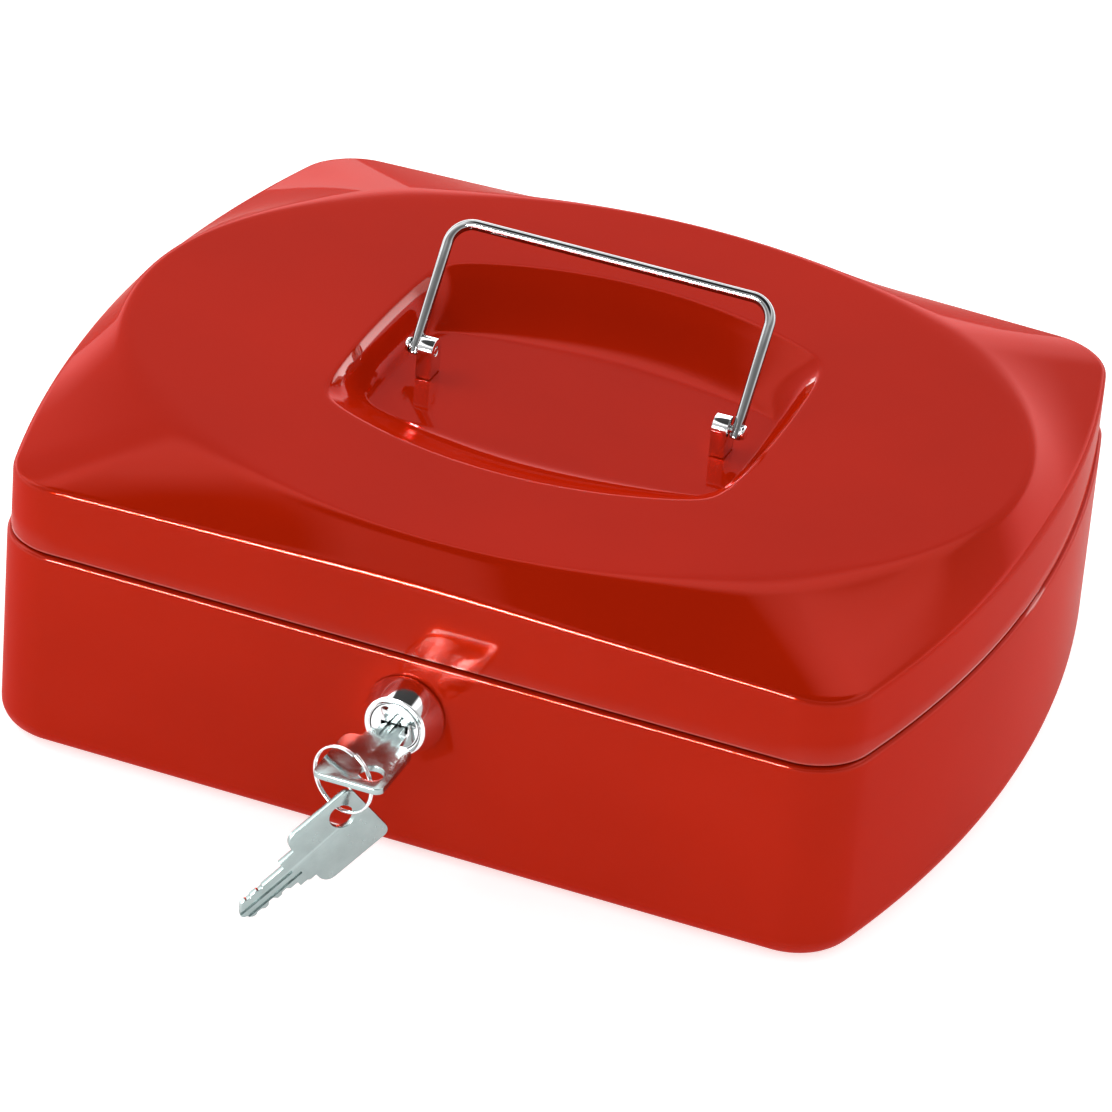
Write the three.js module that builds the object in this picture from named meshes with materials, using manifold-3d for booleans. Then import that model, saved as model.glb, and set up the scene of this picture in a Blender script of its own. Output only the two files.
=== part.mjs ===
// A steel cash box with a hinged lid, a folding bail handle, a cam lock with its key,
// a spare key on a split ring and a lift-out coin tray.
// Millimetres, +Z up. The origin is the middle of the underside; -Y is the lock side.

import * as THREE from 'three';
import { mergeVertices } from 'three/addons/utils/BufferGeometryUtils.js';
import Module from 'manifold-3d';

const wasm = await Module();
wasm.setup();

// ---------------------------------------------------------------- driving dimensions

const WIDTH = 250; // across the bulged sides
const DEPTH = 200; // front wall to back wall
const SIDE_BULGE = 15.7; // how far each side wall bows out past its corners
const CORNER_RADIUS = 17;
const SHEET = 1; // thickness of the pressed steel
const GAP = 0.3; // air between pieces that touch

const SEAM_HEIGHT = 55; // top of the base's outer wall
const BOTTOM_RADIUS = 6;
const RIM_RADIUS = 1.2;
const LIP_HEIGHT = 8; // inner lip above the seam
const LIP_INSET = 2.4;

const LID_INSET = 0.9; // lid skirt set in from the base wall
const LID_BOTTOM = SEAM_HEIGHT + 0.6;
const SHOULDER_HEIGHT = 73; // at the corners
const SHOULDER_RISE = { frontBack: 1.6, sides: 0.5 };
const SHOULDER_ROUND = 1.2;
const TOP_HEIGHT = 83;
const PLATEAU = { a: 117, b: 91 }; // half axes of the flat oval
const RECESS_DEPTH = 10;
const RECESS_RIM = { x: 54.8, y: 52.8, sideRadius: 350, endRadius: 105 };
const RECESS_MID = { x: 50.6, y: 44, sideRadius: 350, endRadius: 130 };
const RECESS_FLOOR = { x: 47, y: 31, sideRadius: 400, endRadius: 200 };

const HINGE = { x: 62, y: DEPTH / 2 + 2.9, z: SEAM_HEIGHT + 0.3, radius: 2.2, pinRadius: 1.2 };
const KNUCKLE = { outer: 7, middle: 12 };
const LEAF = { thickness: 1, baseBottom: 40, lidTop: 70, rivetSpread: 8, baseRivetZ: 46, lidRivetZ: 66.5 };
const RIVET = { shank: 1.2, head: 2.2, dome: 1 };

const HANDLE = { pivotZ: 80, lean: 38.7, reach: 33.6, halfWidth: 43.4, rod: 1.4, bend: 6.5, eye: 2.4 };
const POST = { x: 39.7, width: 4, thickness: 6.6, shank: 1.6, pinRadius: 1 };

const LOCK = { z: 40, face: 7.5, collarFront: 7.8, collarBack: 10.2, body: 8, plug: 6.2, bodyLength: 14 };
const KEYWAY = { width: 7.1, height: 2.1, depth: 15 };
const CAM = { width: 8, reach: 16, thickness: 1.5, tenon: 5 };
const CATCH = { legLow: 9.5, legHigh: 17, legY: -88.6, ledgeTop: 35.4, flangeLow: -13 };

const KEY = { thickness: 1.6, bowWidth: 18, bowLength: 20.5, collarWidth: 9.8, collarLength: 4.5 };
const BLADE = { width: 6.2, length: 15.5, tip: 2.2 };
const KEY_HOLE = { fromEnd: 6.3, aside: 3.8, radius: 3.1 };
const KEY_BOW_START = 15.5; // from the front wall to the bow's inner edge
const RING = { radius: 8.6, wire: 0.6, drop: 4.4, x: -4, y: -127.9 };
const SPARE_KEY = { hang: 1.6, slope: 39 };

const TRAY = { bottom: 28.3, top: 60, inset: 7, flangeInset: 5.2, front: -74, wall: 2 };
const TRAY_REST = { halfLength: 30, low: 14, top: 28, reach: 14 };

const HALF_DEPTH = DEPTH / 2;
const FLOOR_Z = TOP_HEIGHT - RECESS_DEPTH;
const SIDE_RADIUS = (HALF_DEPTH ** 2 + SIDE_BULGE ** 2) / (2 * SIDE_BULGE);
const SIDE_CENTRE = WIDTH / 2 - SIDE_RADIUS;

// ---------------------------------------------------------------- materials

const enamel = paint(0xb3221a, 0.12, 0.0);
const enamelInside = paint(0xa61f18, 0.3, 0.0);
const chrome = paint(0xe6e8ea, 0.08, 1.0);
const nickel = paint(0xb9c2c2, 0.28, 1.0);
const zinc = paint(0xaab0b3, 0.4, 1.0);
const darkSteel = paint(0x7c8084, 0.45, 1.0);
const trayPlastic = paint(0x1d1e20, 0.55, 0.0);

function paint(color, roughness, metalness) {
  return new THREE.MeshStandardMaterial({ color, roughness, metalness });
}

// ---------------------------------------------------------------- solids from three.js geometry

function toSolid(geometry) {
  const bare = geometry.clone();
  bare.deleteAttribute('normal');
  bare.deleteAttribute('uv');
  const merged = mergeVertices(bare, 1e-4);
  const triVerts = new Uint32Array(merged.index.array);
  const vertProperties = new Float32Array(merged.attributes.position.array);
  return new wasm.Manifold(new wasm.Mesh({ numProp: 3, vertProperties, triVerts }));
}

function toGeometry(solid) {
  const mesh = solid.getMesh();
  const geometry = new THREE.BufferGeometry();
  geometry.setAttribute('position', new THREE.BufferAttribute(new Float32Array(mesh.vertProperties), 3));
  geometry.setIndex(new THREE.BufferAttribute(new Uint32Array(mesh.triVerts), 1));
  return geometry;
}

function join(...geometries) {
  return toGeometry(geometries.map(toSolid).reduce((whole, next) => whole.add(next)));
}

function cut(body, ...tools) {
  return toGeometry(tools.map(toSolid).reduce((whole, tool) => whole.subtract(tool), toSolid(body)));
}

function common(first, second) {
  return toGeometry(toSolid(first).intersect(toSolid(second)));
}

function block([x0, x1], [y0, y1], [z0, z1]) {
  const geometry = new THREE.BoxGeometry(x1 - x0, y1 - y0, z1 - z0);
  return geometry.translate((x0 + x1) / 2, (y0 + y1) / 2, (z0 + z1) / 2);
}

// A cylinder along axis 'x', 'y' or 'z' from low to high, centred on (u, v) of the other two axes.
function rod(axis, radius, low, high, u = 0, v = 0, sides = 24) {
  const geometry = new THREE.CylinderGeometry(radius, radius, high - low, sides);
  const middle = (low + high) / 2;
  if (axis === 'x') return geometry.rotateZ(-Math.PI / 2).translate(middle, u, v);
  if (axis === 'y') return geometry.translate(u, middle, v);
  return geometry.rotateX(Math.PI / 2).translate(u, v, middle);
}

// A solid of revolution about Y. The profile runs from low y to high y on its outside.
function turned(profile, sides = 36) {
  return new THREE.LatheGeometry(profile.map(([r, y]) => new THREE.Vector2(r, y)), sides);
}

// A plate with the given outline, standing from z = 0 to its thickness.
function extruded(outline, depth, curveSegments) {
  return new THREE.ExtrudeGeometry(outline, { depth, curveSegments, bevelEnabled: false });
}

function piece(name, geometry, material) {
  const mesh = new THREE.Mesh(geometry, material);
  mesh.name = name;
  return mesh;
}

function group(...children) {
  const holder = new THREE.Group();
  holder.add(...children);
  return holder;
}

// ---------------------------------------------------------------- the plan outline of the box

const CORNER_STEPS = 6;
const SIDE_STEPS = 12;
const FRONT_STEPS = 12;

function arcPoints(cx, cy, radius, from, to, steps) {
  return Array.from({ length: steps }, (_, i) => {
    const angle = from + ((to - from) * i) / steps;
    return [cx + radius * Math.cos(angle), cy + radius * Math.sin(angle)];
  });
}

// Straight front and back, side walls on a large arc, rounded corners. Counter-clockwise from above.
function boxOutline(inset) {
  const corner = CORNER_RADIUS - inset;
  const side = SIDE_RADIUS - inset;
  const cornerY = HALF_DEPTH - CORNER_RADIUS;
  const cornerX = SIDE_CENTRE + Math.sqrt((side - corner) ** 2 - cornerY ** 2);
  const turn = Math.atan2(cornerY, cornerX - SIDE_CENTRE);
  const right = [
    ...arcPoints(cornerX, -cornerY, corner, -Math.PI / 2, -turn, CORNER_STEPS),
    ...arcPoints(SIDE_CENTRE, 0, side, -turn, turn, SIDE_STEPS),
    ...arcPoints(cornerX, cornerY, corner, turn, Math.PI / 2, CORNER_STEPS),
  ];
  const backY = cornerY + corner;
  const backX = (i) => cornerX * (1 - (2 * i) / FRONT_STEPS);
  const back = Array.from({ length: FRONT_STEPS }, (_, i) => [backX(i), backY]);
  const half = [...right, ...back];
  return [...half, ...half.map(([x, y]) => [-x, -y])];
}

function flatRing(points, z) {
  return points.map(([x, y]) => new THREE.Vector3(x, y, z));
}

function outlineShape(inset) {
  return new THREE.Shape(boxOutline(inset).map(([x, y]) => new THREE.Vector2(x, y)));
}

function outlineSlab(inset, z0, z1) {
  const geometry = new THREE.ExtrudeGeometry(outlineShape(inset), { depth: z1 - z0, bevelEnabled: false });
  return geometry.translate(0, 0, z0);
}

// One closed skin through a list of rings, with a fan at each end. upward says that the
// outside of the skin is met first while the rings climb.
function ringLoft(rings, upward) {
  const count = rings[0].length;
  const positions = rings.flatMap((ring) => ring.flatMap((p) => [p.x, p.y, p.z]));
  const index = [];
  const face = (a, b, c) => index.push(...(upward ? [a, b, c] : [a, c, b]));
  rings.slice(1).forEach((_, level) => {
    for (let i = 0; i < count; i += 1) {
      const next = (i + 1) % count;
      const [a, b] = [level * count + i, level * count + next];
      face(a, b, b + count);
      face(a, b + count, a + count);
    }
  });
  [rings[0], rings[rings.length - 1]].forEach((ring, end) => {
    const centre = positions.length / 3;
    const first = end * (rings.length - 1) * count;
    positions.push(0, 0, ring[0].z);
    for (let i = 0; i < count; i += 1) {
      const [a, b] = [first + i, first + ((i + 1) % count)];
      if (end) face(centre, a, b);
      else face(centre, b, a);
    }
  });
  const geometry = new THREE.BufferGeometry();
  geometry.setAttribute('position', new THREE.Float32BufferAttribute(positions, 3));
  geometry.setIndex(index);
  return geometry;
}

// ---------------------------------------------------------------- pressed shells

function lockHole() {
  return rod('y', LOCK.body + 0.4, -HALF_DEPTH - 5, -HALF_DEPTH + 5, 0, LOCK.z);
}

function rivetHoles(z) {
  return rivetColumns().map((x) => rod('y', RIVET.shank + GAP, HALF_DEPTH - 5, HALF_DEPTH + 5, x, z, 16));
}

function rivetColumns() {
  return [-HINGE.x, HINGE.x].flatMap((x) => [x - LEAF.rivetSpread, x + LEAF.rivetSpread]);
}

function roundedBottom(inset, floor, radius) {
  const steps = [0, 30, 60, 90];
  return steps.map((degrees) => {
    const angle = THREE.MathUtils.degToRad(degrees);
    const ring = boxOutline(inset + radius * (1 - Math.sin(angle)));
    return flatRing(ring, floor + radius * (1 - Math.cos(angle)));
  });
}

function baseShell() {
  const lip = SEAM_HEIGHT + LIP_HEIGHT;
  const wall = [
    [0, SEAM_HEIGHT - RIM_RADIUS],
    [0.35, SEAM_HEIGHT - 0.35],
    [RIM_RADIUS, SEAM_HEIGHT],
    [LIP_INSET, SEAM_HEIGHT],
    [LIP_INSET, lip],
    [LIP_INSET + SHEET, lip],
    [LIP_INSET + SHEET, SEAM_HEIGHT - SHEET],
    [SHEET, SEAM_HEIGHT - SHEET - RIM_RADIUS],
  ];
  const rings = [
    ...roundedBottom(0, 0, BOTTOM_RADIUS),
    ...wall.map(([inset, z]) => flatRing(boxOutline(inset), z)),
    ...roundedBottom(SHEET, SHEET, BOTTOM_RADIUS - SHEET).reverse(),
  ];
  return cut(ringLoft(rings, true), lockHole(), ...rivetHoles(LEAF.baseRivetZ));
}

// Distance from the centre to a barrel-shaped outline made of four arcs, along a polar angle.
function barrelRadius({ x, y, sideRadius, endRadius }, angle) {
  const softness = 24;
  const reach = (half, arc, along, across) => {
    const offset = half - arc;
    return offset * along + Math.sqrt(arc ** 2 - (offset * across) ** 2);
  };
  const c = Math.abs(Math.cos(angle));
  const s = Math.abs(Math.sin(angle));
  const toSide = reach(x, sideRadius, c, s);
  const toEnd = reach(y, endRadius, s, c);
  return (toSide ** -softness + toEnd ** -softness) ** (-1 / softness);
}

function polarRing(angles, radiusAt, z) {
  return angles.map((angle) => {
    const radius = radiusAt(angle);
    return new THREE.Vector3(radius * Math.cos(angle), radius * Math.sin(angle), z);
  });
}

function shoulderRing(inset, drop) {
  const cornerX = SIDE_CENTRE + Math.sqrt(SIDE_RADIUS ** 2 - HALF_DEPTH ** 2);
  const endBand = 8;
  return boxOutline(inset).map(([x, y]) => {
    const atEnd = THREE.MathUtils.clamp((Math.abs(y) - (HALF_DEPTH - inset - endBand)) / endBand, 0, 1);
    const frontBack = SHOULDER_RISE.frontBack * Math.max(0, 1 - (x / cornerX) ** 2);
    const sides = SHOULDER_RISE.sides * Math.max(0, 1 - (y / HALF_DEPTH) ** 2);
    const rise = atEnd * frontBack + (1 - atEnd) * sides;
    return new THREE.Vector3(x, y, SHOULDER_HEIGHT + rise - drop);
  });
}

function grown(outline, by) {
  return { ...outline, x: outline.x + by, y: outline.y + by };
}

// One face of the lid's sheet from the skirt's edge to the recess floor, depth t inside the outer face.
function lidFace(t) {
  const angles = boxOutline(LID_INSET).map(([x, y]) => Math.atan2(y, x));
  const oval = (angle) => 1 / Math.hypot(Math.cos(angle) / PLATEAU.a, Math.sin(angle) / PLATEAU.b);
  return [
    flatRing(boxOutline(LID_INSET + t), LID_BOTTOM),
    shoulderRing(LID_INSET + t, SHOULDER_ROUND + t * 0.4),
    shoulderRing(LID_INSET + SHOULDER_ROUND + t * 0.4, t),
    polarRing(angles, oval, TOP_HEIGHT - t),
    polarRing(angles, (angle) => barrelRadius(grown(RECESS_RIM, t), angle), TOP_HEIGHT - t),
    polarRing(angles, (angle) => barrelRadius(grown(RECESS_MID, t * 0.6), angle), FLOOR_Z + 4 - t),
    polarRing(angles, (angle) => barrelRadius(grown(RECESS_FLOOR, t * 0.2), angle), FLOOR_Z - t),
  ];
}

function lidShell() {
  const rings = [...lidFace(0).reverse(), ...lidFace(SHEET)];
  const postHole = (x) => rod('z', POST.shank + GAP, FLOOR_Z - 5, FLOOR_Z + 5, x, 0, 16);
  const holes = [postHole(-POST.x), postHole(POST.x), ...rivetHoles(LEAF.lidRivetZ)];
  return cut(ringLoft(rings, false), ...holes);
}

// ---------------------------------------------------------------- hinges at the back

function knuckle(low, high) {
  return rod('x', HINGE.radius, low, high, HINGE.y, HINGE.z);
}

function pinBore(x) {
  const half = KNUCKLE.middle / 2 + KNUCKLE.outer + 2;
  return rod('x', HINGE.pinRadius + GAP, x - half, x + half, HINGE.y, HINGE.z);
}

function leafRivetHoles(x, z) {
  return [x - LEAF.rivetSpread, x + LEAF.rivetSpread].map((column) =>
    rod('y', RIVET.shank + GAP, HALF_DEPTH - 5, HALF_DEPTH + 5, column, z, 16)
  );
}

function baseLeaf(x) {
  const inner = KNUCKLE.middle / 2 + GAP;
  const outer = inner + KNUCKLE.outer;
  const back = HALF_DEPTH + GAP;
  const plateTop = HINGE.z - HINGE.radius - GAP;
  const plate = block([x - outer, x + outer], [back, back + LEAF.thickness], [LEAF.baseBottom, plateTop]);
  const ears = [-1, 1].flatMap((side) => {
    const [low, high] = side < 0 ? [x - outer, x - inner] : [x + inner, x + outer];
    return [
      knuckle(low, high),
      block([low, high], [back, back + LEAF.thickness], [plateTop - 1, HINGE.z]),
    ];
  });
  return cut(join(plate, ...ears), pinBore(x), ...leafRivetHoles(x, LEAF.baseRivetZ));
}

function lidLeaf(x) {
  const half = KNUCKLE.middle / 2;
  const outer = half + KNUCKLE.outer + GAP;
  const back = HALF_DEPTH - LID_INSET + GAP;
  const webLow = HINGE.z + 1.1;
  const webHigh = HINGE.z + HINGE.radius;
  const plate = block([x - outer, x + outer], [back, back + LEAF.thickness], [webHigh, LEAF.lidTop]);
  const web = block([x - half, x + half], [back, HINGE.y], [webLow, webHigh + 0.01]);
  const body = join(plate, web, knuckle(x - half, x + half));
  return cut(body, pinBore(x), ...leafRivetHoles(x, LEAF.lidRivetZ));
}

function hingePin() {
  const half = KNUCKLE.middle / 2 + KNUCKLE.outer + GAP + 0.5;
  const head = 1.9;
  const profile = [
    [0, -half - 1],
    [head, -half - 0.7],
    [head, -half],
    [HINGE.pinRadius, -half],
    [HINGE.pinRadius, half],
    [0, half],
  ];
  return turned(profile, 20).rotateZ(-Math.PI / 2);
}

// A rivet along Y with a domed head on the outside and a flat one on the inside.
function rivet(inner, outer) {
  const { shank, head, dome } = RIVET;
  return turned(
    [
      [0, inner - GAP - dome * 0.7],
      [head, inner - GAP - dome * 0.5],
      [head, inner - GAP],
      [shank, inner - GAP],
      [shank, outer + GAP],
      [head, outer + GAP],
      [head * 0.8, outer + GAP + dome * 0.6],
      [0, outer + GAP + dome],
    ],
    16
  );
}

function rivetsOf(name, x, z, inner, outer) {
  return [-1, 1].map((side, i) => {
    const mesh = piece(`${name}_rivet_${i + 1}`, rivet(inner, outer), zinc);
    mesh.position.set(x + side * LEAF.rivetSpread, 0, z);
    return mesh;
  });
}

function hinge(side, x) {
  const name = `hinge_${side}`;
  const pin = piece(`${name}_pin`, hingePin(), zinc);
  pin.position.set(x, HINGE.y, HINGE.z);
  const baseLeafBack = HALF_DEPTH + GAP + LEAF.thickness;
  const lidBack = HALF_DEPTH - LID_INSET;
  return group(
    piece(`${name}_base_leaf`, baseLeaf(x), zinc),
    piece(`${name}_lid_leaf`, lidLeaf(x), zinc),
    pin,
    ...rivetsOf(`${name}_base`, x, LEAF.baseRivetZ, HALF_DEPTH - SHEET, baseLeafBack),
    ...rivetsOf(`${name}_lid`, x, LEAF.lidRivetZ, lidBack - SHEET, lidBack + GAP + LEAF.thickness)
  );
}

// ---------------------------------------------------------------- carrying handle

// The bail stands upright here, with its pivots on the X axis.
function bail() {
  const { halfWidth, reach, bend, rod: rodRadius, eye } = HANDLE;
  const path = new THREE.CurvePath();
  const corner = (x0, z0, cx, cz, x1, z1) =>
    new THREE.QuadraticBezierCurve3(
      new THREE.Vector3(x0, 0, z0),
      new THREE.Vector3(cx, 0, cz),
      new THREE.Vector3(x1, 0, z1)
    );
  const line = (x0, z0, x1, z1) =>
    new THREE.LineCurve3(new THREE.Vector3(x0, 0, z0), new THREE.Vector3(x1, 0, z1));
  path.add(line(-halfWidth, 0, -halfWidth, reach - bend));
  path.add(corner(-halfWidth, reach - bend, -halfWidth, reach, -halfWidth + bend, reach));
  path.add(line(-halfWidth + bend, reach, halfWidth - bend, reach));
  path.add(corner(halfWidth - bend, reach, halfWidth, reach, halfWidth, reach - bend));
  path.add(line(halfWidth, reach - bend, halfWidth, 0));
  const section = new THREE.Shape().absarc(0, 0, rodRadius, 0, 2 * Math.PI);
  const bar = new THREE.ExtrudeGeometry(section, { steps: 60, curveSegments: 6, extrudePath: path });
  const eyes = [-halfWidth, halfWidth].map((x) => rod('x', eye, x - 1.1, x + 1.1, 0, 0));
  const bores = [-halfWidth, halfWidth].map((x) => rod('x', POST.pinRadius + GAP, x - 4, x + 4, 0, 0, 16));
  return cut(join(bar, ...eyes), ...bores);
}

// An upright lug with a rounded top, a shank through the lid and a peened end under the washer.
function handlePost() {
  const half = POST.thickness / 2;
  const foot = FLOOR_Z + GAP;
  const profile = new THREE.Shape();
  profile.moveTo(-half, foot);
  profile.lineTo(half, foot);
  profile.lineTo(half, HANDLE.pivotZ);
  profile.absarc(0, HANDLE.pivotZ, half, 0, Math.PI);
  const lug = extruded(profile, POST.width, 12);
  lug.translate(0, 0, -POST.width / 2);
  lug.applyMatrix4(
    new THREE.Matrix4().makeBasis(
      new THREE.Vector3(0, 1, 0),
      new THREE.Vector3(0, 0, 1),
      new THREE.Vector3(1, 0, 0)
    )
  );
  const underLid = FLOOR_Z - SHEET;
  const shank = rod('z', POST.shank, underLid - 1.6, foot + 1, 0, 0, 16);
  const peened = rod('z', POST.shank + 1, underLid - 2.4, underLid - 1.5, 0, 0, 16);
  return cut(join(lug, shank, peened), rod('x', POST.pinRadius + GAP, -3, 3, 0, HANDLE.pivotZ, 16));
}

function postWasher() {
  const top = FLOOR_Z - SHEET - GAP;
  return cut(rod('z', 4, top - 0.8, top), rod('z', POST.shank + GAP, top - 2, top + 1, 0, 0, 16));
}

// The pin that the bail's eye turns on; its head is outside the eye.
function handlePin() {
  const headAt = HANDLE.halfWidth - POST.x + 1.1 + GAP;
  return turned(
    [
      [0, -1.9],
      [POST.pinRadius, -1.9],
      [POST.pinRadius, headAt],
      [1.9, headAt],
      [1.7, headAt + 0.8],
      [0, headAt + 1],
    ],
    20
  );
}

function handle() {
  const swing = piece('handle_bail', bail(), chrome);
  swing.position.set(0, 0, HANDLE.pivotZ);
  swing.rotation.x = -THREE.MathUtils.degToRad(HANDLE.lean);
  const fixed = [['left', -1], ['right', 1]].flatMap(([side, sign]) => {
    const pin = piece(`handle_pin_${side}`, handlePin(), chrome);
    pin.position.set(sign * POST.x, 0, HANDLE.pivotZ);
    pin.rotation.z = -sign * (Math.PI / 2);
    const post = piece(`handle_post_${side}`, handlePost(), chrome);
    const washer = piece(`handle_washer_${side}`, postWasher(), zinc);
    post.position.x = sign * POST.x;
    washer.position.x = sign * POST.x;
    return [post, washer, pin];
  });
  return group(swing, ...fixed);
}

// ---------------------------------------------------------------- cam lock
// Lock parts are modelled about their own axis, along Y, with y = 0 on the front wall's face.

const LOCK_BACK = LOCK.bodyLength;
const PLUG_BACK = LOCK_BACK + 1.5;

function lockBarrel() {
  const { face, collarFront, collarBack, body, plug } = LOCK;
  const bore = plug + GAP;
  return turned(
    [
      [bore, -face],
      [collarFront - 0.4, -face],
      [collarFront, -face + 0.4],
      [collarBack, -GAP - 0.6],
      [collarBack, -GAP],
      [body, -GAP],
      [body, LOCK_BACK],
      [bore, LOCK_BACK],
      [bore, -face],
    ],
    48
  );
}

function lockNut() {
  const outline = new THREE.Shape();
  const across = 11.8;
  for (let i = 0; i < 6; i += 1) {
    const angle = (i * Math.PI) / 3;
    const [x, y] = [across * Math.cos(angle), across * Math.sin(angle)];
    if (i) outline.lineTo(x, y);
    else outline.moveTo(x, y);
  }
  outline.holes.push(new THREE.Path().absarc(0, 0, LOCK.body + GAP, 0, 2 * Math.PI));
  const nut = new THREE.ExtrudeGeometry(outline, { depth: 3, bevelEnabled: false, curveSegments: 12 });
  return nut.rotateX(-Math.PI / 2).translate(0, SHEET + GAP, 0);
}

function lockPlug() {
  const { face, plug } = LOCK;
  const half = CAM.tenon / 2;
  const front = -face + 0.2;
  const core = turned([
    [0, front],
    [plug - 0.3, front],
    [plug, front + 0.3],
    [plug, PLUG_BACK],
    [0, PLUG_BACK],
  ]);
  const tenon = block([-half, half], [PLUG_BACK - 1, PLUG_BACK + CAM.thickness + 0.5], [-half, half]);
  const keyway = block(
    [-KEYWAY.width / 2, KEYWAY.width / 2],
    [-face - 1, -face + KEYWAY.depth],
    [-KEYWAY.height / 2, KEYWAY.height / 2]
  );
  const screwBore = rod('y', 1.8, PLUG_BACK - 5, PLUG_BACK + 5, 0, 0, 16);
  return cut(join(core, tenon), keyway, screwBore);
}

// The cam stands up when the lock is open.
function lockCam() {
  const half = CAM.width / 2;
  const opening = CAM.tenon / 2 + GAP;
  const outline = new THREE.Shape();
  outline.absarc(0, 0, half + 1, -Math.PI, 0);
  outline.lineTo(half, CAM.reach - 2);
  outline.absarc(0, CAM.reach - half, half, 0, Math.PI);
  outline.closePath();
  const square = new THREE.Path();
  square.moveTo(-opening, -opening);
  square.lineTo(-opening, opening);
  square.lineTo(opening, opening);
  square.lineTo(opening, -opening);
  square.closePath();
  outline.holes.push(square);
  const plate = extruded(outline, CAM.thickness, 10);
  return plate.rotateX(Math.PI / 2).translate(0, PLUG_BACK + GAP + CAM.thickness, 0);
}

function camScrew() {
  const seat = PLUG_BACK + CAM.thickness + 0.5 + GAP;
  const profile = [
    [0, seat - 6],
    [1.5, seat - 6],
    [1.5, seat],
    [3.6, seat],
    [3.6, seat + 1.4],
    [3, seat + 2],
    [0, seat + 2],
  ];
  return turned(profile, 24);
}

// Welded inside the lid's front wall; its ledge hangs below the cam when the cam lies level.
function lidCatch() {
  const wallInside = -HALF_DEPTH + LID_INSET + SHEET + GAP;
  const { legLow, legHigh, legY, ledgeTop, flangeLow } = CATCH;
  const shelf = SEAM_HEIGHT + LIP_HEIGHT + 1.2;
  return join(
    block([flangeLow, legHigh], [wallInside, wallInside + SHEET], [shelf, SHOULDER_HEIGHT - 2]),
    block([flangeLow, legHigh], [wallInside, legY + SHEET], [shelf, shelf + SHEET]),
    block([legLow, legHigh], [legY, legY + SHEET], [ledgeTop - 1.2, shelf + SHEET]),
    block([legLow, legHigh], [legY, legY + 7], [ledgeTop - 1.2, ledgeTop])
  );
}

function lock() {
  const parts = group(
    piece('lock_barrel', lockBarrel(), chrome),
    piece('lock_nut', lockNut(), zinc),
    piece('lock_plug', lockPlug(), chrome),
    piece('lock_cam', lockCam(), darkSteel),
    piece('cam_screw', camScrew(), zinc)
  );
  parts.position.set(0, -HALF_DEPTH, LOCK.z);
  return parts;
}

// ---------------------------------------------------------------- keys and ring

// A flat key in the XY plane: the bow's far end on x = 0, the blade's tip on +X, thickness about z = 0.
function keyBody() {
  const { bowWidth, bowLength, collarWidth, collarLength, thickness } = KEY;
  const [bow, collar, blade] = [bowWidth / 2, collarWidth / 2, BLADE.width / 2];
  const collarEnd = bowLength + collarLength;
  const tipAt = collarEnd + BLADE.length;
  const farRound = 2.2;
  const nearRound = 3;
  const outline = new THREE.Shape();
  outline.absarc(farRound, -bow + farRound, farRound, Math.PI, 1.5 * Math.PI);
  outline.absarc(bowLength - nearRound, -bow + nearRound, nearRound, -Math.PI / 2, 0);
  outline.lineTo(bowLength, -collar);
  outline.lineTo(collarEnd, -collar);
  outline.lineTo(collarEnd, -blade);
  outline.lineTo(collarEnd + 5.5, -blade);
  outline.lineTo(collarEnd + 6.3, -blade + 0.8);
  outline.lineTo(tipAt - BLADE.tip, -blade + 0.8);
  outline.lineTo(tipAt, -0.6);
  outline.lineTo(tipAt, 0.6);
  outline.lineTo(tipAt - BLADE.tip, blade);
  outline.lineTo(collarEnd, blade);
  outline.lineTo(collarEnd, collar);
  outline.lineTo(bowLength, collar);
  outline.absarc(bowLength - nearRound, bow - nearRound, nearRound, 0, Math.PI / 2);
  outline.absarc(farRound, bow - farRound, farRound, Math.PI / 2, Math.PI);
  outline.closePath();
  const hole = new THREE.Path().absarc(KEY_HOLE.fromEnd, KEY_HOLE.aside, KEY_HOLE.radius, 0, 2 * Math.PI);
  outline.holes.push(hole);
  return extruded(outline, thickness, 10).translate(0, 0, -thickness / 2);
}

function keyInLock() {
  const key = piece('key_in_lock', keyBody(), nickel);
  key.position.set(0, -HALF_DEPTH - KEY_BOW_START - KEY.bowLength, LOCK.z);
  key.quaternion.setFromRotationMatrix(
    new THREE.Matrix4().makeBasis(
      new THREE.Vector3(0, 1, 0),
      new THREE.Vector3(1, 0, 0),
      new THREE.Vector3(0, 0, -1)
    )
  );
  return key;
}

const RING_CENTRE = new THREE.Vector3(RING.x, RING.y, LOCK.z - RING.drop);
const RING_TANGENT = new THREE.Vector3(0.96, -0.28, 0).normalize();

function keyRing() {
  const profile = Array.from({ length: 11 }, (_, i) => {
    const angle = (i / 10) * 2 * Math.PI;
    return [RING.radius + RING.wire * Math.cos(angle), RING.wire * Math.sin(angle)];
  });
  const ring = piece('key_ring', turned(profile, 36), nickel);
  ring.position.copy(RING_CENTRE);
  ring.rotation.z = Math.atan2(RING_TANGENT.y, RING_TANGENT.x);
  return ring;
}

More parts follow.
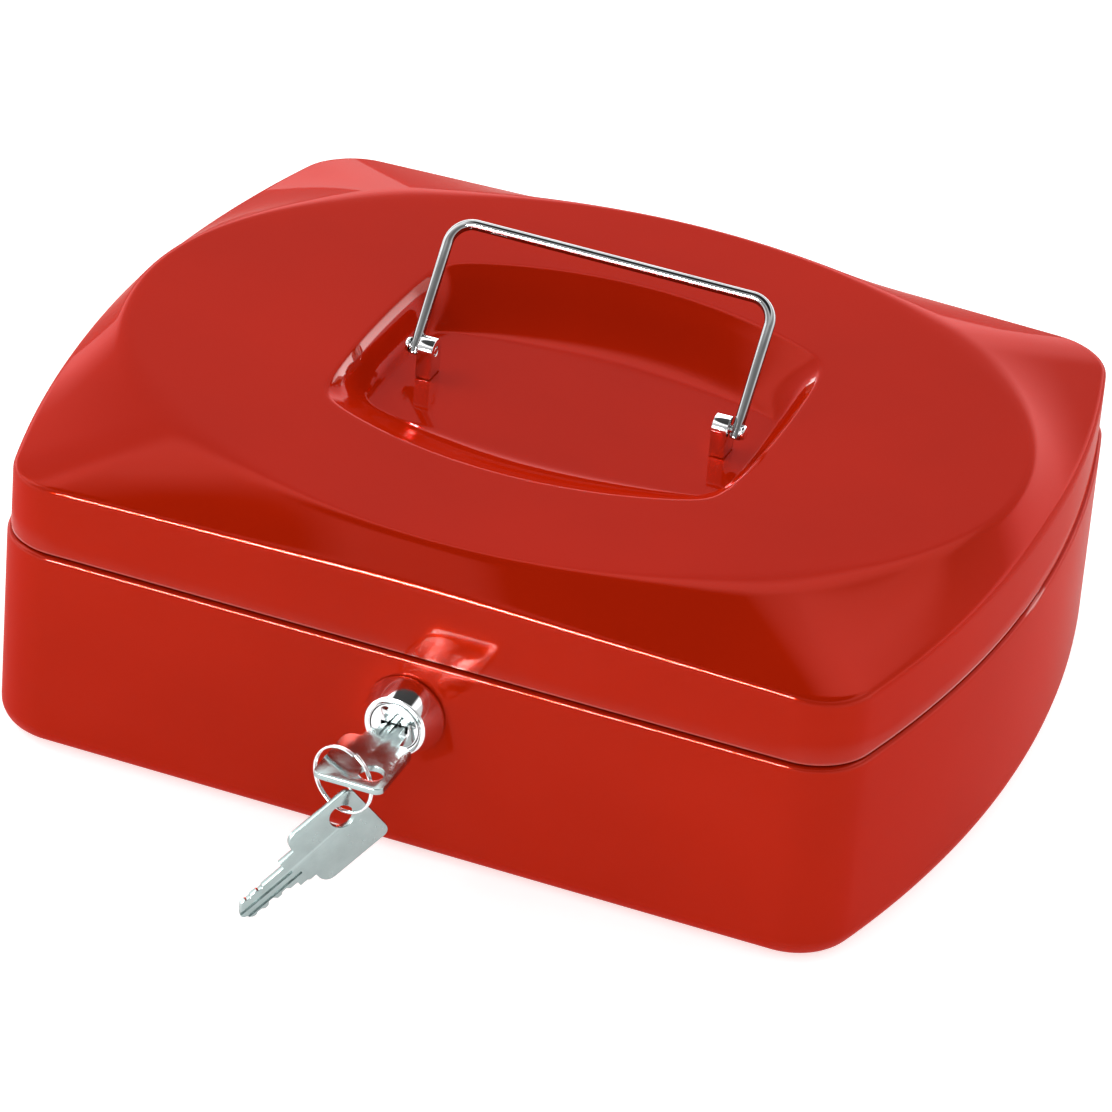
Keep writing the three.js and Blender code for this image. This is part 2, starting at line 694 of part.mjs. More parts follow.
// The spare key hangs on the ring by its hole and leans on the point of its blade.
function spareKey() {
  const slope = THREE.MathUtils.degToRad(SPARE_KEY.slope);
  const heading = new THREE.Vector3(-0.72, -0.69, 0).normalize();
  const up = new THREE.Vector3(0, 0, 1);
  const along = heading.clone().multiplyScalar(Math.cos(slope)).addScaledVector(up, -Math.sin(slope));
  const across = heading.clone().multiplyScalar(Math.sin(slope)).addScaledVector(up, Math.cos(slope));
  const hole = RING_CENTRE.clone().addScaledVector(up, -RING.radius - SPARE_KEY.hang);
  const key = piece('spare_key', keyBody(), nickel);
  const turn = new THREE.Matrix4().makeBasis(along, across, along.clone().cross(across));
  key.quaternion.setFromRotationMatrix(turn);
  key.position.copy(hole);
  key.position.addScaledVector(along, -KEY_HOLE.fromEnd);
  key.position.addScaledVector(across, -KEY_HOLE.aside);
  return key;
}

// ---------------------------------------------------------------- coin tray and its rests

function evenWells(count, halfWidth, [y0, y1]) {
  const width = (2 * halfWidth - (count - 1) * TRAY.wall) / count;
  return Array.from({ length: count }, (_, i) => {
    const x0 = -halfWidth + i * (width + TRAY.wall);
    return block([x0, x0 + width], [y0, y1], [TRAY.bottom + TRAY.wall, TRAY.top + 1]);
  });
}

function coinTray() {
  const { bottom, top, inset, flangeInset, front } = TRAY;
  const body = join(outlineSlab(inset, bottom, top), outlineSlab(flangeInset, top - 1.6, top));
  const frontPart = block([-WIDTH, WIDTH], [-DEPTH, front], [0, TOP_HEIGHT]);
  return cut(body, frontPart, ...evenWells(5, 106, [front + 2, -16]), ...evenWells(3, 101, [-14, 87]));
}

function trayRest(sign) {
  const { halfLength, low, top, reach } = TRAY_REST;
  const inset = SHEET + GAP;
  const upright = cut(outlineSlab(inset, low, top), outlineSlab(inset + SHEET, low - 1, top + 1));
  const ledge = cut(outlineSlab(inset, top - SHEET, top), outlineSlab(reach, low, top + 1));
  const reachX = [sign * 60, sign * WIDTH].sort((a, b) => a - b);
  return common(join(upright, ledge), block(reachX, [-halfLength, halfLength], [0, TOP_HEIGHT]));
}

// ---------------------------------------------------------------- the whole box

const cashBox = group(
  piece('base_shell', baseShell(), enamel),
  piece('lid_shell', lidShell(), enamel),
  hinge('left', -HINGE.x),
  hinge('right', HINGE.x),
  handle(),
  lock(),
  piece('lid_catch', lidCatch(), zinc),
  keyInLock(),
  keyRing(),
  spareKey(),
  piece('coin_tray', coinTray(), trayPlastic),
  piece('tray_rest_left', trayRest(-1), enamelInside),
  piece('tray_rest_right', trayRest(1), enamelInside)
);

export default cashBox;
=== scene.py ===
"""A red steel cash box: bulged shells, recessed bail handle, cam lock, keys on a ring, coin tray."""

import math
from contextlib import contextmanager

import bmesh
import bpy
import numpy as np
from bpy.props import FloatProperty, FloatVectorProperty, IntProperty, PointerProperty
from bpy.types import Operator, Panel, PropertyGroup
from mathutils import Matrix, Vector


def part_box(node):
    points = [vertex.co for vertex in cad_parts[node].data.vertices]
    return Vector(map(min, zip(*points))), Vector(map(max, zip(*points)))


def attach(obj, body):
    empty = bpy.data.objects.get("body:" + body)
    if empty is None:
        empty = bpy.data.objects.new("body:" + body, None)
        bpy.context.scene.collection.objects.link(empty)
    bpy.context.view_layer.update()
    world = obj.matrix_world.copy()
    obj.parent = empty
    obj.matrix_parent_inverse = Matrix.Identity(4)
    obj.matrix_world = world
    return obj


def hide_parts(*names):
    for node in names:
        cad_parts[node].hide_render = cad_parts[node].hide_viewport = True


bl_info = {
    "name": "Cash Box",
    "version": (1, 0, 0),
    "blender": (4, 5, 0),
    "location": "3D View > Sidebar > Cash Box",
    "description": "Builds a small steel cash box with its lock, keys, handle and coin tray",
    "category": "Add Mesh",
}

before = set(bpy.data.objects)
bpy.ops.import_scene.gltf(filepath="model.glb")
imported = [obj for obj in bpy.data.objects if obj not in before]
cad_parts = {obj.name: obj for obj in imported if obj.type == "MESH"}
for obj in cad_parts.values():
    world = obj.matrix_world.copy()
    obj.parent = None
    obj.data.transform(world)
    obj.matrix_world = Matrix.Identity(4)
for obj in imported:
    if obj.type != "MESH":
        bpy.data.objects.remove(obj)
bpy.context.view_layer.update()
MM = 0.001
WELD = 1e-6


# ---- sizes and colours


def length(name, description, default):
    return FloatProperty(name=name, description=description, default=default, unit="LENGTH", precision=5)


def colour(name, description, default):
    return FloatVectorProperty(
        name=name, description=description, default=default, size=3, min=0, max=1, subtype="COLOR"
    )


class CashBoxBody(PropertyGroup):
    width: length("Width", "Across the bulged sides", 0.250)
    depth: length("Depth", "Front wall to back wall", 0.200)
    side_bulge: length("Side bulge", "How far each side bows past its corners", 0.0157)
    corner_radius: length("Corner radius", "Upright corners in plan", 0.017)
    sheet: length("Sheet", "Thickness of the pressed steel", 0.001)
    bottom_radius: length("Bottom radius", "Fold between the floor and the wall", 0.006)
    seam: length("Seam height", "Top of the base wall", 0.055)
    rim_radius: length("Rim radius", "Roll at the top of the base wall", 0.0012)
    lip_inset: length("Lip inset", "How far the inner lip stands in", 0.0024)
    lip_height: length("Lip height", "How far the inner lip stands up", 0.008)
    lid_inset: length("Lid inset", "Lid skirt set in from the base wall", 0.0009)
    lid_bottom: length("Lid bottom", "Lower edge of the lid skirt", 0.0556)
    shoulder: length("Shoulder height", "Top of the lid skirt at the corners", 0.073)
    shoulder_rise: length("Shoulder rise", "Extra height at the middle of the front and back", 0.0016)
    side_rise: length("Side rise", "Extra height at the middle of the sides", 0.0005)
    top: length("Top height", "The flat oval of the lid", 0.083)
    oval_x: length("Oval half width", "Half axis of the flat oval along the box", 0.117)
    oval_y: length("Oval half depth", "Half axis of the flat oval across the box", 0.091)
    recess_depth: length("Recess depth", "Handle recess below the oval", 0.010)


class CashBoxHandle(PropertyGroup):
    pivot_height: length("Pivot height", "Height of the bail's pins", 0.080)
    reach: length("Reach", "Pivot to the middle of the grip", 0.03357)
    half_width: length("Half width", "Middle of the box to the middle of a leg", 0.0434)
    rod: length("Rod radius", "Radius of the chromed bar", 0.0014)
    bend: length("Bend radius", "Inner bends of the bail", 0.0062)
    tail: length("Tail", "Leg left below the pin", 0.0021)
    lean: FloatProperty(
        name="Lean", description="Angle back from upright", default=math.radians(38.7), subtype="ANGLE"
    )


class CashBoxLock(PropertyGroup):
    height: length("Height", "Lock axis above the table", 0.040)
    face: length("Face", "How far the barrel stands out", 0.0075)
    plug: length("Plug radius", "Turning plug", 0.0062)
    front: length("Front radius", "Barrel at its face", 0.0078)
    back: length("Back radius", "Barrel at the wall", 0.0102)
    key_thickness: length("Key thickness", "Flat key stock", 0.0016)
    bow_width: length("Bow width", "Key's grip", 0.018)
    bow_length: length("Bow length", "Key's grip along the key", 0.0205)
    ring_radius: length("Ring radius", "Middle of the split ring's wire", 0.0086)
    ring_turns: IntProperty(
        name="Ring turns", description="Turns of wire in the split ring", default=2, min=1
    )


class CashBoxFinish(PropertyGroup):
    enamel: colour("Enamel", "Red gloss enamel", (0.370, 0.0115, 0.0012))
    chrome: colour("Chrome", "Bright plate", (0.86, 0.87, 0.88))
    nickel: colour("Nickel", "Satin key plate", (0.34, 0.41, 0.405))
    zinc: colour("Zinc", "Fittings", (0.38, 0.40, 0.42))
    steel: colour("Steel", "Cam", (0.34, 0.345, 0.36))
    plastic: colour("Plastic", "Coin tray", (0.018, 0.018, 0.020))
    floor: colour("Floor", "Studio floor", (0.72, 0.72, 0.72))


def body():
    return bpy.context.scene.cash_box_body


def handle():
    return bpy.context.scene.cash_box_handle


def lock():
    return bpy.context.scene.cash_box_lock


def finish():
    return bpy.context.scene.cash_box_finish


# ---- finishes


class Shader:
    """A small helper that lays out one procedural material's nodes."""

    def __init__(self, name):
        self.material = bpy.data.materials.new(name)
        self.material.use_nodes = True
        self.nodes = self.material.node_tree.nodes
        self.links = self.material.node_tree.links
        self.surface = self.nodes["Principled BSDF"]
        self.place = self.nodes.new("ShaderNodeTexCoord").outputs["Object"]

    def mapped(self, scale):
        node = self.nodes.new("ShaderNodeMapping")
        node.inputs["Scale"].default_value = scale
        self.links.new(self.place, node.inputs["Vector"])
        return node.outputs["Vector"]

    def noise(self, scale, detail, stretch=None):
        node = self.nodes.new("ShaderNodeTexNoise")
        node.inputs["Scale"].default_value = scale
        node.inputs["Detail"].default_value = detail
        self.links.new(self.mapped(stretch) if stretch else self.place, node.inputs["Vector"])
        return node.outputs["Fac"]

    def cells(self, scale):
        node = self.nodes.new("ShaderNodeTexVoronoi")
        node.inputs["Scale"].default_value = scale
        self.links.new(self.place, node.inputs["Vector"])
        return node.outputs["Color"]

    def fit(self, value, low, high, start=0.3, stop=0.7):
        node = self.nodes.new("ShaderNodeMapRange")
        for label, number in (("From Min", start), ("From Max", stop), ("To Min", low), ("To Max", high)):
            node.inputs[label].default_value = number
        self.links.new(value, node.inputs["Value"])
        return node.outputs["Result"]

    def blend(self, factor, first, second):
        node = self.nodes.new("ShaderNodeMix")
        node.data_type = "RGBA"
        self.links.new(factor, node.inputs["Factor"])
        for socket, value in ((node.inputs[6], first), (node.inputs[7], second)):
            if hasattr(value, "links"):
                self.links.new(value, socket)
            else:
                socket.default_value = (*value, 1)
        return node.outputs[2]

    def multiply(self, socket, factor):
        node = self.nodes.new("ShaderNodeMath")
        node.operation = "MULTIPLY"
        self.links.new(socket, node.inputs[0])
        node.inputs[1].default_value = factor
        return node.outputs[0]

    def edges(self, low, high):
        """White along raised edges, black elsewhere."""
        pointed = self.nodes.new("ShaderNodeNewGeometry").outputs["Pointiness"]
        return self.fit(pointed, 0.0, 1.0, low, high)

    def bump(self, value, distance, strength=1.0, under=None):
        node = self.nodes.new("ShaderNodeBump")
        node.inputs["Strength"].default_value = strength
        node.inputs["Distance"].default_value = distance
        self.links.new(value, node.inputs["Height"])
        if under:
            self.links.new(under, node.inputs["Normal"])
        return node.outputs["Normal"]

    def end(self, shade, roughness, normal=None, **values):
        """Wires up the surface and sets its plain values."""
        for label, socket in (("Base Color", shade), ("Roughness", roughness), ("Normal", normal)):
            if socket:
                self.links.new(socket, self.surface.inputs[label])
        for label, value in values.items():
            self.surface.inputs[label.replace("_", " ")].default_value = value
        return self.material


def scaled(rgb, factor):
    return tuple(min(1.0, channel * factor) for channel in rgb)


def gloss_enamel():
    """Stoved gloss enamel: slow colour drift, faint orange peel, paler edges under a clear coat."""
    s = Shader("gloss_enamel")
    base = tuple(finish().enamel)
    drift = s.fit(s.noise(14, 4), 0, 1)
    paint = s.blend(drift, scaled(base, 0.94), scaled(base, 1.05))
    # paler colour along raised edges, picked out by pointiness
    paler_edges = s.multiply(s.edges(0.53, 0.64), 0.35)
    shade = s.blend(paler_edges, paint, (base[0] * 1.25, base[1] * 3, base[2] * 3))
    peel = s.bump(s.noise(330, 2), 0.00004, 0.35)
    normal = s.bump(s.noise(26, 2), 0.0004, 0.10, peel)
    coat = s.fit(s.edges(0.515, 0.56), 0.12, 1.0, 0, 1)
    s.links.new(coat, s.surface.inputs["Coat Weight"])
    plain = {"Metallic": 0.12, "IOR": 1.5, "Specular_IOR_Level": 0.0, "Coat_Roughness": 0.02}
    tint = (1.0, 0.12, 0.08, 1.0)
    return s.end(shade, s.fit(s.noise(55, 3), 0.10, 0.16), normal, Specular_Tint=tint, **plain)


def chrome_plate(name, dull, bright, gloss, ripple):
    """Polished plate with haze patches and soft ripples; ripple is a bump's distance and strength."""
    s = Shader(name)
    shade = s.blend(s.fit(s.noise(160, 3), 0, 1), dull, bright)
    normal = s.bump(s.noise(420, 2), *ripple)
    return s.end(shade, s.fit(s.noise(240, 4), *gloss), normal, Metallic=1.0)


def rod_chrome():
    """Chromed wire of the bail, painted darker than the other plate: a shaded copy of the chrome that
    stands in for the dark surroundings it reflects.
    """
    # painted shade: the chrome colour is scaled down to stand in for dark reflections
    base = scaled(finish().chrome, 0.36)
    shades = scaled(base, 0.85), scaled(base, 1.1)
    return chrome_plate("rod_chrome", *shades, (0.04, 0.10), (0.00002, 0.2))


def bright_chrome():
    """Chrome of the posts, the ring and the lock."""
    base = tuple(finish().chrome)
    return chrome_plate("bright_chrome", scaled(base, 0.93), base, (0.03, 0.11), (0.00003, 0.25))


def satin_nickel():
    """Key plate: fine grain, darker worn patches, brighter rubbed edges."""
    s = Shader("satin_nickel")
    base = tuple(finish().nickel)
    worn = s.blend(s.fit(s.noise(200, 4), 0, 1), scaled(base, 0.90), scaled(base, 1.04))
    shade = s.blend(s.multiply(s.edges(0.51, 0.6), 0.6), worn, scaled(base, 1.35))
    grain = s.bump(s.noise(1500, 3), 0.00001, 0.4)
    normal = s.bump(s.noise(160, 2), 0.00003, 0.15, grain)
    return s.end(shade, s.fit(s.noise(500, 3), 0.16, 0.28), normal, Metallic=1.0)


def zinc_plate():
    """Bright zinc on the fittings: small crystal patches and a dull haze."""
    s = Shader("zinc_plate")
    base = tuple(finish().zinc)
    spangle = s.blend(s.fit(s.noise(600, 2), 0, 1), scaled(base, 0.8), scaled(base, 1.12))
    patch = s.nodes.new("ShaderNodeRGBToBW")
    s.links.new(s.cells(900), patch.inputs[0])
    shade = s.blend(s.multiply(patch.outputs[0], 0.35), spangle, scaled(base, 1.25))
    normal = s.bump(s.noise(1200, 2), 0.00003, 0.4)
    return s.end(shade, s.fit(s.noise(350, 4), 0.28, 0.46), normal, Metallic=1.0)


def dark_steel():
    """Plain cam steel with rolling streaks and an oily variation."""
    s = Shader("dark_steel")
    base = tuple(finish().steel)
    streaks = s.noise(120, 4, stretch=(6, 1, 1))
    shade = s.blend(s.fit(streaks, 0, 1), scaled(base, 0.7), scaled(base, 1.15))
    normal = s.bump(streaks, 0.00004, 0.5)
    return s.end(shade, s.fit(s.noise(200, 4), 0.3, 0.5), normal, Metallic=1.0)


def black_plastic():
    """Coin tray: fine moulded grain, dusty scuffs on the edges."""
    s = Shader("black_plastic")
    base = tuple(finish().plastic)
    dusty = s.blend(s.fit(s.noise(40, 4), 0, 1), base, scaled(base, 1.6))
    shade = s.blend(s.multiply(s.edges(0.52, 0.66), 0.4), dusty, scaled(base, 5))
    normal = s.bump(s.noise(1600, 2), 0.00008, 0.5)
    return s.end(shade, s.fit(s.noise(300, 3), 0.42, 0.6), normal)


def studio_floor():
    """Matt pale floor with a little light of its own."""
    s = Shader("studio_floor")
    base = tuple(finish().floor)
    shade = s.blend(s.fit(s.noise(3, 3), 0, 1), scaled(base, 0.995), base)
    roughness = s.fit(s.noise(60, 3), 0.75, 0.9)
    return s.end(shade, roughness, Emission_Strength=0.65, Emission_Color=(1, 1, 1, 1))


def material(maker):
    """The maker's material, made once."""
    return bpy.data.materials.get(maker.__name__) or maker()


# ---- making meshes


def link(name, data, paint=None):
    """Adds data to the scene under a name, with the material that paint makes."""
    piece = bpy.data.objects.new(name, data)
    bpy.context.scene.collection.objects.link(piece)
    if paint:
        data.materials.clear()
        data.materials.append(material(paint))
    return piece


def mesh_of(name, vertices, faces):
    mesh = bpy.data.meshes.new(name)
    mesh.from_pydata([tuple(v) for v in vertices], [], [tuple(f) for f in faces])
    mesh.update()
    return mesh


@contextmanager
def editing(mesh):
    """Opens a mesh for editing and writes it back."""
    bm = bmesh.new()
    bm.from_mesh(mesh)
    yield bm
    bm.to_mesh(mesh)
    bm.free()


def smooth(mesh, angle=32):
    mesh.polygons.foreach_set("use_smooth", [True] * len(mesh.polygons))
    mesh.set_sharp_from_angle(angle=math.radians(angle))


def as_mesh(piece):
    """A piece and its modifiers as one plain mesh."""
    bpy.context.view_layer.update()
    graph = bpy.context.evaluated_depsgraph_get()
    mesh = bpy.data.meshes.new_from_object(piece.evaluated_get(graph), depsgraph=graph)
    mesh.name = piece.name
    return mesh


def settle(piece, angle=32):
    """Applies a piece's modifiers and shades it smooth up to an angle in degrees."""
    mesh = as_mesh(piece)
    piece.modifiers.clear()
    piece.data = mesh
    smooth(mesh, angle)
    return piece


def place(piece, matrix):
    piece.data.transform(matrix)
    if matrix.determinant() < 0:
        piece.data.flip_normals()
    piece.data.update()
    return piece


def merge(target, others):
    """Adds the other pieces' meshes to the target's and removes them."""
    with editing(target.data) as bm:
        for other in others:
            bm.from_mesh(other.data)
    for other in others:
        bpy.data.objects.remove(other)
    target.data.update()
    smooth(target.data)
    return target


def turned(name, profile, sides, paint, closed=False):
    """A solid of revolution about Y. The profile is (radius, y) pairs in metres."""
    angles = np.linspace(0, 2 * math.pi, sides, endpoint=False)
    rings = []
    vertices = []
    for radius, y in profile:
        if radius == 0:
            rings.append([len(vertices)])
            vertices.append((0, y, 0))
            continue
        rings.append(list(range(len(vertices), len(vertices) + sides)))
        vertices.extend((radius * math.cos(a), y, radius * math.sin(a)) for a in angles)
    faces = []
    pairs = list(zip(rings, rings[1:] + rings[:1]))
    for low, high in pairs if closed else pairs[:-1]:
        for i in range(sides):
            j = (i + 1) % sides
            corners = (low[i % len(low)], high[i % len(high)], high[j % len(high)], low[j % len(low)])
            face = list(dict.fromkeys(corners))
            if len(face) > 2:
                faces.append(face)
    mesh = mesh_of(name, vertices, faces)
    with editing(mesh) as bm:
        bmesh.ops.recalc_face_normals(bm, faces=bm.faces)
    smooth(mesh)
    return link(name, mesh, paint)


def eased_profile(corners, radii, steps=5):
    """Rounds a (radius, y) profile at its corners with short curves."""
    points = [corners[0]]
    for i in range(1, len(corners) - 1):
        before, corner, after = (np.array(corners[k]) for k in (i - 1, i, i + 1))
        cut = radii[i - 1]
        if cut <= 0:
            points.append(tuple(corner))
            continue
        into, out = before - corner, after - corner
        start = corner + into / np.linalg.norm(into) * cut
        end = corner + out / np.linalg.norm(out) * cut
        for t in np.linspace(0, 1, steps):
            points.append(tuple((1 - t) ** 2 * start + 2 * t * (1 - t) * corner + t * t * end))
    points.append(corners[-1])
    return points


def box_cutter(name, low, high):
    mesh = bpy.data.meshes.new(name)
    low, high = Vector(low), Vector(high)
    with editing(mesh) as bm:
        bmesh.ops.create_cube(bm, size=1)
        for vertex in bm.verts:
            vertex.co = Vector((low[k] + (vertex.co[k] + 0.5) * (high[k] - low[k]) for k in range(3)))
    return link(name, mesh)


def cut_away(piece, cutters):
    for cutter in cutters:
        step = piece.modifiers.new("cut", "BOOLEAN")
        step.operation = "DIFFERENCE"
        step.solver = "EXACT"
        step.object = cutter
    settle(piece)
    for cutter in cutters:
        bpy.data.objects.remove(cutter)
    return piece


def flat_plate(name, outlines, thickness, edge, paint, rounding=2):
    """A flat plate with eased edges, middle at z = 0, from an outline and its holes in XY."""
    curve = bpy.data.curves.new(name, "CURVE")
    curve.dimensions = "2D"
    curve.fill_mode = "BOTH"
    curve.extrude = thickness / 2 - edge
    curve.bevel_depth = edge
    curve.bevel_resolution = rounding
    curve.offset = -edge
    for outline in outlines:
        spline = curve.splines.new("POLY")
        spline.points.add(len(outline) - 1)
        for point, (x, y) in zip(spline.points, outline):
            point.co = (x, y, 0, 1)
        spline.use_cyclic_u = True
    drawn = link(name, curve)
    mesh = as_mesh(drawn)
    bpy.data.objects.remove(drawn)
    with editing(mesh) as bm:
        bmesh.ops.remove_doubles(bm, verts=bm.verts, dist=WELD)
        bmesh.ops.recalc_face_normals(bm, faces=bm.faces)
    smooth(mesh)
    return link(name, mesh, paint)


def ease_edges(piece, width, segments, angle):
    """Bevels the edges that are sharper than an angle in degrees."""
    step = piece.modifiers.new("edge", "BEVEL")
    step.width = width
    step.segments = segments
    step.limit_method = "ANGLE"
    step.angle_limit = math.radians(angle)
    return settle(piece)


def eased_copy(node, name, edge, paint, segments=2):
    """A copy of a fitting's solid with its flat faces joined up and its sharp edges eased."""
    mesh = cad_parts[node].data.copy()
    with editing(mesh) as bm:
        bmesh.ops.remove_doubles(bm, verts=bm.verts, dist=WELD)
        bmesh.ops.dissolve_limit(bm, angle_limit=math.radians(1), verts=bm.verts, edges=bm.edges)
    return ease_edges(link(name, mesh, paint), edge, segments, 35)


def hand_over(piece, body_name, slot_name, *nodes):
    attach(piece, body_name)
    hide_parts(*nodes)


def stand_in(node, name, edge, paint, body_name, slot_name, segments=2):
    """Adds an eased copy of a fitting's solid in its place."""
    hand_over(eased_copy(node, name, edge, paint, segments), body_name, slot_name, node)


# ---- geometry node trees


class Tree:
    """A geometry node tree with named inputs, used as a modifier and then made a plain mesh."""

    def __init__(self, name):
        self.group = bpy.data.node_groups.new(name, "GeometryNodeTree")
        for way in ("INPUT", "OUTPUT"):
            self.group.interface.new_socket("Geometry", in_out=way, socket_type="NodeSocketGeometry")
        self.start = self.group.nodes.new("NodeGroupInput")
        self.stop = self.group.nodes.new("NodeGroupOutput")
        self.values = {}

    def input(self, label, kind, value):
        socket = self.group.interface.new_socket(label, in_out="INPUT", socket_type=kind)
        self.values[socket.identifier] = value
        return self.start.outputs[label]

    def node(self, kind, links=None, **settings):
        node = self.group.nodes.new(kind)
        for label, value in settings.items():
            setattr(node, label, value)
        for label, source in (links or {}).items():
            socket = node.inputs[label]
            if hasattr(source, "links"):
                self.group.links.new(source, socket)
            else:
                socket.default_value = source
        return node

    def end(self, geometry, paint):
        """Closes the tree with Realize Instances, Set Shade Smooth and Set Material."""
        real = self.node("GeometryNodeRealizeInstances", {"Geometry": geometry})
        soft = self.node("GeometryNodeSetShadeSmooth", {"Geometry": real.outputs[0]})
        painted = self.node("GeometryNodeSetMaterial", {"Geometry": soft.outputs[0], "Material": paint})
        self.group.links.new(painted.outputs[0], self.stop.inputs[0])

    def rod(self, path, radius, sides, paint):
        """Runs a round rod along a path and closes the tree."""
        section = self.node("GeometryNodeCurvePrimitiveCircle", {"Resolution": sides, "Radius": radius})
        solid = self.node(
            "GeometryNodeCurveToMesh",
            {"Curve": path, "Profile Curve": section.outputs[0], "Fill Caps": True},
        )
        self.end(solid.outputs[0], paint)

    def run(self, name, mesh, angle=32):
        piece = link(name, mesh)
        step = piece.modifiers.new("grow", "NODES")
        step.node_group = self.group
        for identifier, value in self.values.items():
            step[identifier] = value
        return settle(piece, angle)


FLOAT, OBJECT, PAINT = "NodeSocketFloat", "NodeSocketObject", "NodeSocketMaterial"


# ---- the plan of the box

# points on a corner, a side and the front
FINE_STEPS = 16, 44, 64
TRAY_STEPS = 8, 22, 6


def side_circle():
    b = body()
    half = b.depth / 2
    radius = (half**2 + b.side_bulge**2) / (2 * b.side_bulge)
    return radius, b.width / 2 - radius


def plan_outline(inset, steps=FINE_STEPS):
    """Straight front and back, each side wall one long arc, rounded corners; counter-clockwise."""
    b = body()
    corner_steps, side_steps, front_steps = steps
    radius, centre = side_circle()
    half = b.depth / 2
    corner = b.corner_radius - inset
    side = radius - inset
    corner_y = half - b.corner_radius
    corner_x = centre + math.sqrt((side - corner) ** 2 - corner_y**2)
    turn = math.atan2(corner_y, corner_x - centre)

    def arc(cx, cy, r, start, stop, count):
        angles = np.linspace(start, stop, count, endpoint=False)
        return np.stack([cx + r * np.cos(angles), cy + r * np.sin(angles)], 1)

    right = [
        arc(corner_x, -corner_y, corner, -math.pi / 2, -turn, corner_steps),
        arc(centre, 0, side, -turn, turn, side_steps),
        arc(corner_x, corner_y, corner, turn, math.pi / 2, corner_steps),
    ]
    back_x = corner_x * (1 - 2 * np.arange(front_steps) / front_steps)
    back = np.stack([back_x, np.full(front_steps, corner_y + corner)], 1)
    part = np.concatenate([*right, back])
    return np.concatenate([part, -part])


def level(points, z):
    return np.column_stack([points, np.broadcast_to(z, len(points))])


def quarter(start, stop, steps):
    return np.radians(np.linspace(start, stop, steps))


def walls(rings, inward=False):
    """Four-sided faces between neighbouring rings of equal length."""
    count = len(rings[0])
    faces = []
    for low in range(len(rings) - 1):
        for i in range(count):
            a, b = low * count + i, low * count + (i + 1) % count
            faces.append((a, a + count, b + count, b) if inward else (a, b, b + count, a + count))
    return faces


def skin(name, rings, pole_at_start, pole_at_end):
    """A sheet through rings of equal length; a pole closes an end on the box's middle axis."""
    count = len(rings[0])
    vertices = list(np.concatenate(rings))
    faces = walls(rings)
    for wanted, ring, flip in ((pole_at_start, 0, True), (pole_at_end, len(rings) - 1, False)):
        if wanted:
            pole = len(vertices)
            vertices.append((0, 0, rings[ring][0][2]))
            for i in range(count):
                a, b = ring * count + i, ring * count + (i + 1) % count
                faces.append((pole, b, a) if flip else (pole, a, b))
    return mesh_of(name, vertices, faces)


def thicken(piece, thickness):
    step = piece.modifiers.new("sheet", "SOLIDIFY")
    step.thickness = thickness
    step.offset = -1
    step.use_even_offset = True
    step.use_quality_normals = True
    return settle(piece, 40)


def pressed(name, rings, thickness, paint, pole_at_start=False, pole_at_end=False):
    """A piece of sheet through the rings, which lie on its outer face."""
    mesh = skin(name, rings, pole_at_start, pole_at_end)
    return thicken(link(name, mesh, paint), thickness)


# ---- shells


# how far from a fold an extra ring keeps the flat beside it flat
GUARD = 0.0006


def base_rings():
    """From the middle of the floor out, up the wall, over the rolled rim and up the inner lip."""
    b = body()
    r, rim = b.bottom_radius, b.rim_radius
    rings = [level(plan_outline(r + GUARD) * share, 0) for share in (0.02, 0.3, 0.65, 0.97, 1.0)]
    for t in quarter(0, 90, 11):
        rings.append(level(plan_outline(r * (1 - math.sin(t))), r * (1 - math.cos(t))))
    rings += [level(plan_outline(0), z) for z in (r + GUARD, b.seam / 2, b.seam - rim - GUARD)]
    for t in quarter(0, 90, 8):
        rings.append(level(plan_outline(rim * (1 - math.cos(t))), b.seam - rim * (1 - math.sin(t))))
    fold = 0.0005
    for t in quarter(0, 90, 5):
        inset = b.lip_inset - fold * (1 - math.sin(t))
        rings.append(level(plan_outline(inset), b.seam + fold * (1 - math.cos(t))))
    top = b.seam + b.lip_height
    rings += [level(plan_outline(b.lip_inset), z) for z in (b.seam + 2 * fold, top - GUARD, top)]
    return rings


def make_base():
    piece = pressed("base_body", base_rings(), body().sheet, gloss_enamel, pole_at_start=True)
    hand_over(piece, "base", "red_enamel", "base_shell")


def barrel_radius(half_x, half_y, side_arc, end_arc, angles, softness=26):
    """Distance from the middle to an outline of four slow arcs with soft corners."""
    c, s = np.abs(np.cos(angles)), np.abs(np.sin(angles))

    def reach(half, arc, along, across):
        offset = half - arc
        return offset * along + np.sqrt(arc**2 - (offset * across) ** 2)

    to_side = reach(half_x, side_arc, c, s)
    to_end = reach(half_y, end_arc, s, c)
    return (to_side**-softness + to_end**-softness) ** (-1 / softness)


def polar(radius, angles, z):
    return level(np.stack([radius * np.cos(angles), radius * np.sin(angles)], 1), z)


def shoulder_ring(inset):
    """The fold above the skirt, which rises a little at the middle of each side."""
    b = body()
    radius, centre = side_circle()
    half = b.depth / 2
    corner_x = centre + math.sqrt(radius**2 - half**2)
    band = 0.008
    points = plan_outline(inset)
    x, y = points.T
    at_end = np.clip((np.abs(y) - (half - inset - band)) / band, 0, 1)
    at_end = at_end * at_end * (3 - 2 * at_end)
    lift = at_end * b.shoulder_rise * np.maximum(0, 1 - (x / corner_x) ** 2)
    lift += (1 - at_end) * b.side_rise * np.maximum(0, 1 - (y / half) ** 2)
    return level(points, b.shoulder + lift)


def toward(corner, other, distance):
    gap = other - corner
    size = np.linalg.norm(gap, axis=1, keepdims=True)
    return corner + gap / size * np.minimum(distance, size * 0.45)


